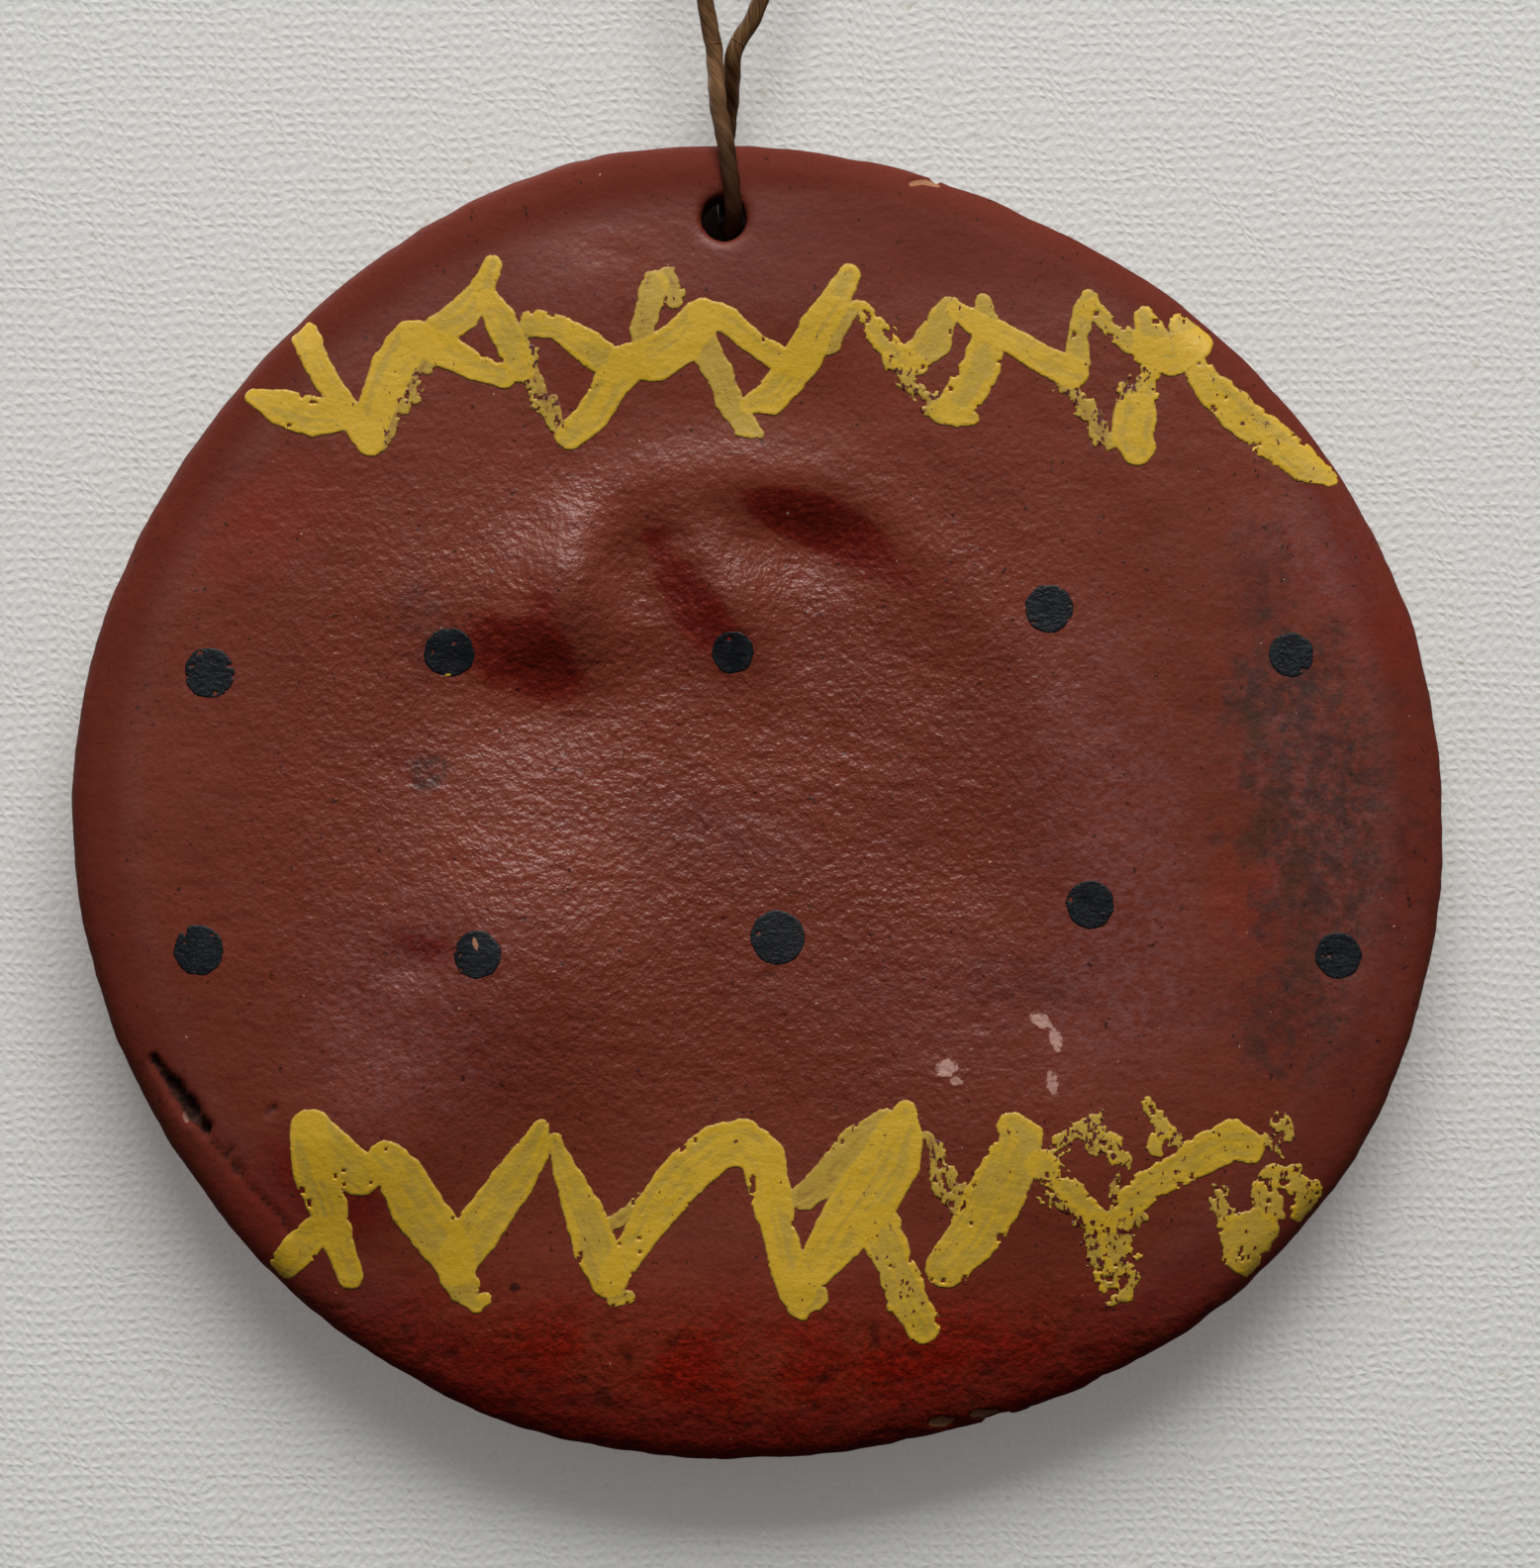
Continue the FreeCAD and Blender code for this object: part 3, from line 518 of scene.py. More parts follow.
LOWER_MARKS = [
    ([(-24.7, -17.5, 1.05), (-24.7, -18.8, 1.1), (-24.4, -20.2, 1.16),
      (-23.7, -21.8, 1.1), (-23.5, -23.2, 0.94)], 0.0, 1.0),
    ([(-24.4, -17.5, 1.05), (-23.2, -19.0, 1.32), (-21.9, -20.0, 1.21)], 0.0, 0.95),
    ([(-24.4, -23.2, 0.83), (-25.3, -24.2, 0.99), (-26.2, -25.1, 0.88)], 0.0, 0.9),
    ([(-23.3, -23.2, 0.94), (-22.9, -24.6, 0.77), (-22.5, -25.7, 0.77)], 0.0, 0.95),
    ([(-20.4, -19.3, 1.16), (-19.7, -20.0, 1.27), (-18.8, -21.8, 1.49),
      (-17.4, -23.7, 1.38), (-16.6, -25.1, 1.16)], 0.0, 0.95),
    ([(-16.7, -25.7, 0.94), (-15.9, -26.7, 0.88), (-15.6, -27.2, 0.55), (-15.0, -26.9, 0.39)], 0.15, 0.85),
    ([(-16.3, -24.4, 1.21), (-15.2, -22.8, 1.27), (-13.7, -20.7, 1.21),
      (-12.4, -18.8, 0.94), (-11.9, -17.5, 0.5)], 0.0, 0.9),
    ([(-11.2, -18.1, 0.39), (-10.8, -19.3, 0.61), (-10.1, -21.0, 0.94),
      (-9.4, -22.6, 1.16), (-8.9, -24.3, 1.21), (-8.2, -25.9, 0.99)], 0.05, 0.85),
    ([(-8.0, -26.2, 0.94), (-7.9, -26.9, 0.55), (-7.1, -26.7, 0.39)], 0.25, 0.8),
    ([(-8.1, -22.8, 0.39), (-7.2, -22.2, 0.39), (-6.4, -21.4, 0.33)], 0.1, 0.5),
    ([(-7.8, -25.4, 0.88), (-6.7, -23.7, 0.94), (-5.4, -21.7, 1.21), (-3.9, -19.9, 1.32),
      (-2.3, -18.6, 1.32), (-0.8, -18.2, 1.21), (0.3, -19.1, 1.21), (0.7, -21.3, 1.16),
      (1.2, -23.2, 0.94), (1.7, -25.4, 0.99), (2.2, -26.5, 1.1)], 0.0, 1.0),
    ([(2.3, -26.4, 1.21), (2.3, -27.3, 0.72), (3.1, -26.7, 0.77)], 0.2, 0.85),
    ([(2.5, -21.3, 0.77), (4.1, -20.0, 0.99), (5.6, -18.3, 1.1), (7.0, -17.4, 0.99)], 0.05, 0.6),
    ([(3.2, -25.1, 1.1), (4.6, -23.2, 1.54), (6.0, -21.3, 1.76),
      (7.3, -19.3, 1.65), (7.8, -17.7, 1.38), (8.1, -16.7, 0.72)], 0.0, 1.0),
    ([(6.6, -22.9, 1.21), (7.4, -24.8, 1.1), (8.2, -26.8, 1.16), (9.0, -28.3, 1.05)], 0.3, 0.9),
    ([(9.5, -18.0, 0.44), (9.9, -19.3, 0.72), (10.4, -20.7, 0.77), (11.1, -21.7, 0.77)], 0.6, 0.6),
    ([(10.4, -25.1, 1.21), (11.8, -23.5, 1.49), (12.9, -21.5, 1.6),
      (13.9, -19.6, 1.49), (14.4, -18.1, 1.32), (14.0, -17.4, 0.88)], 0.15, 0.95),
    ([(15.6, -19.5, 0.88), (16.9, -20.6, 0.72), (18.1, -21.8, 0.66), (19.1, -22.9, 0.72)], 0.25, 0.9),
    ([(15.9, -21.0, 0.66), (17.0, -21.7, 0.66), (17.8, -22.4, 0.55)], 0.8, 0.6),
    ([(16.3, -18.5, 0.44), (17.3, -17.8, 0.61), (18.5, -17.2, 0.61), (18.9, -17.0, 0.39)], 0.65, 0.65),
    ([(18.7, -18.2, 0.66), (19.5, -18.5, 0.61), (20.2, -19.4, 0.5)], 0.55, 0.7),
    ([(19.8, -20.3, 0.44), (19.6, -21.1, 0.44)], 0.7, 0.7),
    ([(18.4, -22.6, 0.77), (19.8, -23.5, 1.1), (19.9, -24.7, 1.1), (19.4, -25.8, 0.83)], 0.55, 0.8),
    ([(20.6, -25.9, 0.61), (20.0, -26.8, 0.55), (19.4, -27.2, 0.33)], 0.6, 0.75),
    ([(18.4, -23.7, 0.88), (18.7, -24.8, 0.77)], 0.7, 0.7),
    ([(20.3, -21.7, 0.88), (21.4, -20.8, 0.99), (23.1, -19.9, 0.99),
      (24.7, -18.8, 1.1), (26.1, -18.2, 1.16), (27.1, -18.5, 0.94)], 0.2, 0.95),
    ([(19.9, -22.5, 0.77), (21.0, -22.5, 0.5)], 0.6, 0.6),
    ([(21.4, -16.1, 0.28), (22.0, -16.9, 0.61), (22.3, -17.7, 0.61), (22.0, -18.5, 0.66)], 0.35, 0.75),
    ([(22.3, -18.2, 0.5), (23.2, -18.2, 0.39)], 0.7, 0.7),
    ([(28.9, -17.3, 0.61), (29.2, -18.0, 0.44)], 0.4, 0.65),
    ([(28.2, -18.2, 0.5), (28.7, -18.8, 0.5)], 0.6, 0.7),
    ([(28.3, -20.2, 0.66), (29.4, -20.3, 0.77), (30.4, -21.3, 0.83), (30.2, -22.2, 0.72)], 0.4, 0.85),
    ([(25.4, -21.3, 0.66), (26.0, -22.4, 0.77)], 0.6, 0.55),
    ([(27.9, -21.3, 0.77), (28.4, -22.1, 0.83)], 0.45, 0.65),
    ([(26.4, -23.3, 1.1), (27.5, -23.2, 1.27), (26.8, -24.5, 1.16), (27.2, -25.2, 0.72)], 0.2, 0.75),
]


def dot_marks(*dots):
    """Full, well covering dots from their places and radii (across, up, radius)."""
    return [([dot], 0.0, 1.0) for dot in dots]


UPPER_DOT_MARKS = dot_marks(
    (-30.2, 7.6, 1.38), (-17.0, 8.7, 1.38), (-1.4, 8.7, 1.16), (16.0, 11.1, 1.32), (29.4, 8.6, 1.21),
)
LOWER_DOT_MARKS = dot_marks(
    (-30.8, -7.7, 1.38), (-15.4, -7.9, 1.32), (1.1, -7.0, 1.49), (18.3, -5.2, 1.32), (32.0, -8.0, 1.27),
)
# grid step and thickness of the paint films (mm)
ZIGZAG_FILM = (0.085, 0.07)
DOT_FILM = (0.06, 0.06)
# paint stops this far inside the disc's outline (mm)
RIM_MARGIN = 0.25
# paint reaches this far into the clay under it (mm)
SUNK_BELOW = 0.10


def mark_fields(across, up, mark, number):
    """One brush mark at each place: how far inside its edge (mm), and how well it covers."""
    line, dryness, cover = mark
    centres = [(x, z) for x, z, _ in line]
    widths = [width for _, _, width in line]
    if len(line) == 1:
        centres.append((centres[0][0] + 1e-3, centres[0][1]))
        widths.append(widths[0])
    distance, along, side = way_to_line(across, up, centres)
    width = np.interp(along, lengths_along(centres), widths)
    places = np.stack([across, np.full(len(across), 3.0 * number), up], axis=1)
    brushed = np.stack([along, np.full(len(across), 5.0 * number), side], axis=1)
    streaks = noise(brushed, (2.6, 1.0, 0.22), 5.0) + 0.5 * noise(brushed, (1.2, 1.0, 0.12), 15.0)
    rag = rough_noise(places, 0.5, 3, 25.0)
    inside = width - distance + (0.06 + 0.30 * dryness) * rag
    specks = rough_noise(places, 0.38, 2, 45.0) + 0.45 * streaks
    specks += 0.35 * soft_step(distance / width, 0.4, 1.0)
    holes = soft_step(specks, 1.30 - 1.45 * dryness, 1.45 - 1.3 * dryness)
    inside = inside - holes * (inside > -0.3) * 1.2
    rim_bead = soft_step(width - distance, 0.45, 0.1) * 0.25
    covering = cover * (0.82 + rim_bead + 0.20 * streaks + 0.12 * rag)
    return inside, np.clip(covering, 0.05, 1.0)


def film(name, marks, front, step, thickness):
    """A closed film of paint over the front surface wherever a brush mark lies."""
    xs = [x for line, _, _ in marks for x, _, _ in line]
    zs = [z for line, _, _ in marks for _, z, _ in line]
    reach = 2.4
    grid_x = np.arange(min(xs) - reach, max(xs) + reach, step)
    grid_z = np.arange(min(zs) - reach, max(zs) + reach, step)
    across, up = np.meshgrid(grid_x, grid_z, indexing="ij")
    inside = np.full(across.shape, -1.0)
    bare = np.ones(across.shape)
    dry = np.zeros(across.shape)
    for number, mark in enumerate(marks):
        wide = max(width for _, _, width in mark[0]) + 0.6
        mark_x = [x for x, _, _ in mark[0]]
        mark_z = [z for _, z, _ in mark[0]]
        near = (across > min(mark_x) - wide) & (across < max(mark_x) + wide)
        near &= (up > min(mark_z) - wide) & (up < max(mark_z) + wide)
        mark_inside, covering = mark_fields(across[near], up[near], mark, number)
        bare[near] *= 1.0 - covering * soft_step(mark_inside, -0.05, 0.12)
        dry[near] = np.where(mark_inside > inside[near], mark[1], dry[near])
        inside[near] = np.maximum(inside[near], mark_inside)
    shown = np.full(across.shape, 1.0)
    for way_x, way_z in ((1, 0), (-1, 0), (0, 1), (0, -1)):
        weight = front.read(front.weight, across + way_x * RIM_MARGIN, up + way_z * RIM_MARGIN)
        shown = np.minimum(shown, weight)
    inside = np.minimum(inside, (shown - 0.5) * 2.0 * step)

    cells = (inside[:-1, :-1] + inside[1:, :-1] + inside[:-1, 1:] + inside[1:, 1:]) > 0.0
    for _ in range(3):
        cells = without_pinches(cells)
    kept = {"cover": 1.0 - bare, "dry": dry}
    return film_mesh(name, across, up, inside, kept, cells, front, step, thickness)


def without_pinches(cells):
    """Fills one more cell wherever two cells touch at a corner only."""
    filled = cells.copy()
    a, b, c, d = cells[:-1, :-1], cells[1:, :-1], cells[:-1, 1:], cells[1:, 1:]
    filled[1:, :-1] |= a & d & ~b & ~c
    filled[:-1, :-1] |= b & c & ~a & ~d
    return filled


def cells_at_points(cells):
    """How many chosen cells touch each grid point."""
    touched = np.zeros((cells.shape[0] + 1, cells.shape[1] + 1))
    touched[:-1, :-1] += cells
    touched[1:, :-1] += cells
    touched[:-1, 1:] += cells
    touched[1:, 1:] += cells
    return touched


def film_mesh(name, across, up, inside, kept, cells, front, step, thickness):
    """Top sheet, sunk under sheet and the wall between them, its edge snapped to the mark's outline."""
    slope_x, slope_z = np.gradient(inside, step)
    steep = np.maximum(slope_x**2 + slope_z**2, 0.2)
    touched = cells_at_points(cells)
    used = touched > 0
    at_edge = used & (touched < 4)
    furthest = 0.7 * step
    across = across + np.where(at_edge, np.clip(-inside * slope_x / steep, -furthest, furthest), 0.0)
    up = up + np.where(at_edge, np.clip(-inside * slope_z / steep, -furthest, furthest), 0.0)
    number = np.full(across.shape, -1)
    number[used] = np.arange(used.sum())
    flat_x, flat_z = across[used], up[used]
    depth = front.read(front.depth, flat_x, flat_z)
    body = soft_step(np.where(at_edge, 0.0, np.maximum(inside, 0.03))[used], 0.0, 0.16)
    tall = thickness * (0.22 + 0.78 * body * (0.35 + 0.65 * kept["cover"][used]))
    top = np.stack([flat_x, depth + FRONT_SIDE * tall, flat_z], axis=1)
    under = np.stack([flat_x, depth + SUNK_BELOW, flat_z], axis=1)

    corner = [number[:-1, :-1][cells], number[1:, :-1][cells], number[1:, 1:][cells], number[:-1, 1:][cells]]
    top_quads = np.stack(corner, axis=1)
    edges = np.concatenate([top_quads[:, [way, (way + 1) % 4]] for way in range(4)])
    count = len(flat_x)
    codes = edges[:, 0].astype(np.int64) * count + edges[:, 1]
    back_codes = edges[:, 1].astype(np.int64) * count + edges[:, 0]
    rim = edges[~np.isin(codes, back_codes)]
    walls = np.stack([rim[:, 1], rim[:, 0], rim[:, 0] + count, rim[:, 1] + count], axis=1)
    quads = np.concatenate([top_quads, top_quads[:, ::-1] + count, walls])
    piece = mesh_object(name, np.concatenate([top, under]) * MM, quads)
    for attribute, values in kept.items():
        set_attribute(piece.data, attribute, np.tile(values[used], 2))
    return piece


# ---------------------------------------------------------------- cord

CORD_SIDES = 30
# length of one step along the cord, and the length in which its plies turn once (mm)
CORD_STEP = 0.1
PLY_TURN = 5.2
# in shares of the cord's radius: its body, and how far plies, fibres and slow unevenness stand out
CORD_BODY, PLY_HEIGHT, FIBRE_HEIGHT, CORD_UNEVEN = 0.96, 0.035, 0.03, 0.05


def strand_line(node, levels):
    """Centre line of an upright CAD strand: the middle between both its sides at each height (mm)."""
    tree = BVHTree.FromObject(frame["nodes"][node], bpy.context.evaluated_depsgraph_get())
    low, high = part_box(node)
    depth, right = (low.y + high.y) / 2.0, Vector((1, 0, 0))
    line = []
    for level in levels:
        first = tree.ray_cast(Vector((low.x - MM, depth, level * MM)), right)[0]
        last = tree.ray_cast(Vector((high.x + MM, depth, level * MM)), -right)[0]
        line.append((middle(first.x, last.x) / MM, depth / MM, level))
    return line


# sizes of the knot's curve across and upwards, and how far each strand lies off it (mm)
KNOT_SPREAD, KNOT_RISE, STRAND_ASIDE = 0.62, 0.155, 0.5


def knot_turns(centre, sign):
    """One strand of a doubled overhand knot, from its lower end to its upper end."""
    turns = np.linspace(-2.04, 2.04, 25)
    place = np.stack([
        KNOT_SPREAD * (turns**3 - 3 * turns),
        KNOT_SPREAD * (turns**4 - 4 * turns**2 + 1.9),
        KNOT_RISE * (turns**5 - 10 * turns),
    ], axis=1)
    way = np.gradient(place, axis=0)
    aside = np.cross(way, (0.0, 1.0, 0.0))
    aside /= np.linalg.norm(aside, axis=1)[:, None]
    place -= sign * STRAND_ASIDE * aside
    return [tuple(row) for row in place + np.array(centre)]


def cord_controls():
    """Centre line of the whole cord from one cut end to the other, with names where pieces part."""
    bight_low, bight_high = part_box("cord_bight")
    upper_low, upper_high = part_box("cord_left_upper")
    knot_low, knot_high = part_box("cord_knot")
    radius = (upper_high.y - upper_low.y) / 2.0 / MM
    front = bight_low.y / MM + radius
    back = bight_high.y / MM - radius
    meet = bight_high.z / MM
    plane = middle(upper_low.y, upper_high.y) / MM
    knot_bottom, knot_top = knot_low.z / MM, knot_high.z / MM
    knot_centre = (HOLE_X, plane, middle(knot_bottom, knot_top))
    tilt, fold = joint_height("disc_tilt"), joint_height("loop_fold")

    halves = {}
    for name, sign in (("left", -1), ("right", 1)):
        neck = [(HOLE_X + sign * radius * 1.04, plane, meet + gap) for gap in (0.3, 0.8)]
        lower = strand_line(f"cord_{name}_lower", np.linspace(tilt + 0.4, fold - 1.2, 9))
        upper = strand_line(f"cord_{name}_upper", np.linspace(fold + 1.0, knot_bottom - 0.8, 8))
        tail_low, tail_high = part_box(f"cord_tail_{name}")
        tail_x = (tail_low.x if sign < 0 else tail_high.x) / MM - sign * radius
        tail_base = (HOLE_X + sign * 0.6, plane, knot_top + 0.5)
        tail_end = (tail_x, plane, tail_high.z / MM - 0.2)
        tail = [
            tuple(np.array(tail_base) * (1 - share) + np.array(tail_end) * share)
            for share in (0, 0.35, 0.7, 1)
        ]
        knot = knot_turns(knot_centre, sign)
        halves[name] = [("neck", neck), ("bend", lower), ("top", upper), ("knot", knot), ("tail", tail)]

    under_hole = [
        (HOLE_X - 0.30, front + 0.9, meet - 2.6),
        (HOLE_X + 0.12, front, meet - 4.6),
        (HOLE_X + 0.44, front - 0.02, HOLE_Z + 2.0),
        (HOLE_X + 0.56, front + 0.25, HOLE_Z + 0.5),
        (HOLE_X + 0.56, front + 1.3, HOLE_Z - 0.45),
        (HOLE_X + 0.30, plane, HOLE_Z - 0.45),
        (HOLE_X + 0.15, back - 1.2, HOLE_Z + 0.1),
        (HOLE_X + 0.05, back, HOLE_Z + 1.9),
        (HOLE_X + 0.05, back, meet - 4.4),
        (HOLE_X + 0.30, back - 0.9, meet - 2.4),
    ]
    left = [(f"{part}_left", line[::-1]) for part, line in reversed(halves["left"])]
    right = [(f"{part}_right", line) for part, line in halves["right"]]
    parts = left + [("bight", under_hole)] + right
    return parts, radius


def cord_samples():
    """Even steps along the smoothed cord (mm), the part that each step lies on, and the cord's radius."""
    parts, radius = cord_controls()
    controls = np.array([point for _, line in parts for point in line])
    names = [name for name, line in parts for _ in line]
    reach = np.concatenate([[0.0], np.cumsum(np.linalg.norm(np.diff(controls, axis=0), axis=1))])
    steps = np.arange(0.0, reach[-1], CORD_STEP)
    line = np.stack([np.interp(steps, reach, controls[:, axis]) for axis in range(3)], axis=1)
    for _ in range(24):
        line[1:-1] = (line[:-2] + 2.0 * line[1:-1] + line[2:]) / 4.0
    owner = np.searchsorted(reach, steps, side="right") - 1
    return line, [names[number] for number in owner], radius


def cord_frames(line):
    """Two directions across the cord at each step, carried along without twisting."""
    ways = np.gradient(line, axis=0)
    ways /= np.linalg.norm(ways, axis=1)[:, None]
    first = np.zeros_like(line)
    aside = np.cross(ways[0], (0.0, 1.0, 0.0))
    for number, way in enumerate(ways):
        aside = aside - way * aside.dot(way)
        aside /= np.linalg.norm(aside)
        first[number] = aside
    return first, np.cross(ways, first)


def cord_rings(line, radius):
    """Rings of points round the cord: plies, loose fibres and uneven thickness in the radius."""
    first, second = cord_frames(line)
    turn = np.linspace(0.0, 2.0 * math.pi, CORD_SIDES, endpoint=False)
    grid_turn, grid_along = np.meshgrid(turn, np.arange(len(line)) * CORD_STEP)
    plied = grid_turn + grid_along * 2.0 * math.pi / PLY_TURN
    ring = np.stack([np.cos(plied), grid_along, np.sin(plied)], axis=-1).reshape(-1, 3)
    fibres = noise(ring, (0.22, 1.8, 0.22), 7.0) + 0.6 * noise(ring, (0.12, 0.8, 0.12), 17.0)
    uneven = noise(ring, (1.6, 2.4, 1.6), 27.0)
    width = CORD_BODY + PLY_HEIGHT * np.cos(3.0 * plied) + FIBRE_HEIGHT * fibres.reshape(plied.shape)
    width += CORD_UNEVEN * uneven.reshape(plied.shape)
    out = first[:, None, :] * np.cos(grid_turn)[..., None]
    out += second[:, None, :] * np.sin(grid_turn)[..., None]
    rings = line[:, None, :] + out * (radius * width)[..., None]
    return rings, plied, grid_along


def tube_quads(rows, sides, start):
    """Grid of point numbers over a tube's rings, and the quads of its wall."""
    index = np.arange(rows * sides).reshape(rows, sides) + start
    after = np.roll(index, -1, axis=1)
    quads = np.stack([index[:-1], after[:-1], after[1:], index[1:]], axis=-1).reshape(-1, 4)
    return index, quads


def cord_piece(name, runs, rings, plied, along):
    """One piece of the cord from one or more runs of rings, each run closed by an end cap."""
    points, quads, twist, reach = [], [], [], []
    start = 0
    for first, last in runs:
        part = rings[first:last]
        index, wall = tube_quads(len(part), CORD_SIDES, start)
        quads += [wall, cap(index[0], False), cap(index[-1], True)]
        points.append(part.reshape(-1, 3))
        twist.append(plied[first:last].ravel())
        reach.append(along[first:last].ravel())
        start += index.size
    piece = mesh_object(name, np.concatenate(points) * MM, np.concatenate(quads))
    twist, reach = np.concatenate(twist), np.concatenate(reach)
    set_attribute(piece.data, "ring_x", np.cos(twist))
    set_attribute(piece.data, "ring_y", np.sin(twist))
    set_attribute(piece.data, "along", reach)
    return piece


def cap(row, flip):
    """Quads that close a ring, laid across it like the rungs of a ladder."""
    rungs = range(CORD_SIDES // 2 - 1)
    quads = np.array([(row[step], row[step + 1], row[-2 - step], row[-1 - step]) for step in rungs])
    return quads[:, ::-1] if flip else quads


# heights at which one cord piece ends and the next begins (mm)
CUT_NECK = joint_height("cord_twist") + 1.1
CUT_BEND = joint_height("disc_tilt") + 6.3
CUT_TOP = joint_height("loop_fold") + 17.9


def part_at(name, height):
    """The piece that a step of the cord belongs to, from the part it lies on and its height."""
    if name.startswith(("knot", "tail")):
        return name
    if height < CUT_NECK:
        return "bight"
    side = name.split("_")[1]
    if height < CUT_BEND:
        return f"neck_{side}"
    return f"bend_{side}" if height < CUT_TOP else f"top_{side}"


def run_of(parts, name):
    """Range of a piece's steps, with the next piece's first ring so that the two meet."""
    steps = [number for number, part in enumerate(parts) if part == name]
    return steps[0], min(steps[-1] + 2, len(parts))


# loose fibres of a cut end: shortest and longest, radius at the root, and sideways bend (mm)
FIBRE_COUNT, FIBRE_LENGTHS, FIBRE_RADIUS, FIBRE_BEND = 16, (0.7, 1.7), 0.055, 0.22
FRAY_SEEDS = {"left": 40, "right": 41}


def frayed_end(name, tip, way, radius, seed):
    """Loose fibres of a cut cord end, each a thin bent spine."""
    random = np.random.default_rng(seed)
    sides, rows = 5, 9
    points, quads = [], []
    for fibre in range(FIBRE_COUNT):
        spread = random.normal(0.0, FIBRE_BEND, 3)
        length = random.uniform(*FIBRE_LENGTHS)
        root = tip - way * 0.25 + random.uniform(-0.6, 0.6, 3) * radius * (1 - np.abs(way))
        share = np.linspace(0.0, 1.0, rows)[:, None]
        spine = root + way * length * share + spread * length * share**2
        thin = FIBRE_RADIUS * (1.0 - 0.75 * share)
        turn = np.linspace(0, 2 * math.pi, sides, endpoint=False)
        ring = np.stack([np.cos(turn), np.sin(turn), np.zeros(sides)], axis=1)
        tube = spine[:, None, :] + ring[None, :, :] * thin[:, None]
        quads.append(tube_quads(rows, sides, fibre * rows * sides)[1])
        points.append(tube.reshape(-1, 3))
    piece = mesh_object(name, np.concatenate(points) * MM, np.concatenate(quads))
    for attribute, value in (("ring_x", 1.0), ("ring_y", 0.0), ("along", 3.0)):
        set_attribute(piece.data, attribute, np.full(len(piece.data.vertices), value))
    return piece


def build_cord(material):
    line, names, radius = cord_samples()
    parts = [part_at(name, point[2]) for name, point in zip(names, line)]
    rings, plied, along = cord_rings(line, radius)

    def piece(name, *part_names):
        runs = [run_of(parts, part) for part in part_names]
        made = cord_piece(name, runs, rings, plied, along)
        made.data.materials.append(material)
        return made

    def bend_at(made):
        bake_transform(made)

    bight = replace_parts(piece("cord_through_hole", "bight"), "cord_bight")
    bend_at(bight)
    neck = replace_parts(piece("cord_strands_parting", "neck_left", "neck_right"), "cord_neck")
    bend_at(neck)
    for side in ("left", "right"):
        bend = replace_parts(piece(f"cord_loop_{side}", f"bend_{side}"), f"cord_{side}_lower")
        bend_at(bend)
        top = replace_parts(piece(f"cord_loop_{side}_top", f"top_{side}"), f"cord_{side}_upper")
        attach(top, "hanger")
        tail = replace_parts(piece(f"cord_end_{side}", f"tail_{side}"), f"cord_tail_{side}")
        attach(tail, "hanger")
        tip, before = (line[0], line[6]) if side == "left" else (line[-1], line[-7])
        way = (tip - before) / np.linalg.norm(tip - before)
        fray = frayed_end(f"cord_end_{side}_fibres", tip, way, radius, FRAY_SEEDS[side])
        fray.data.materials.append(material)
        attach(fray, "hanger")
    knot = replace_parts(piece("overhand_knot", "knot_left", "knot_right"), "cord_knot")
    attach(knot, "hanger")


# ---------------------------------------------------------------- materials

def from_display(red, green, blue):
    """Linear colour of a display colour given in steps of 255."""
    shares = [value / 255.0 for value in (red, green, blue)]
    return tuple(v / 12.92 if v < 0.04045 else ((v + 0.055) / 1.055) ** 2.4 for v in shares) + (1.0,)


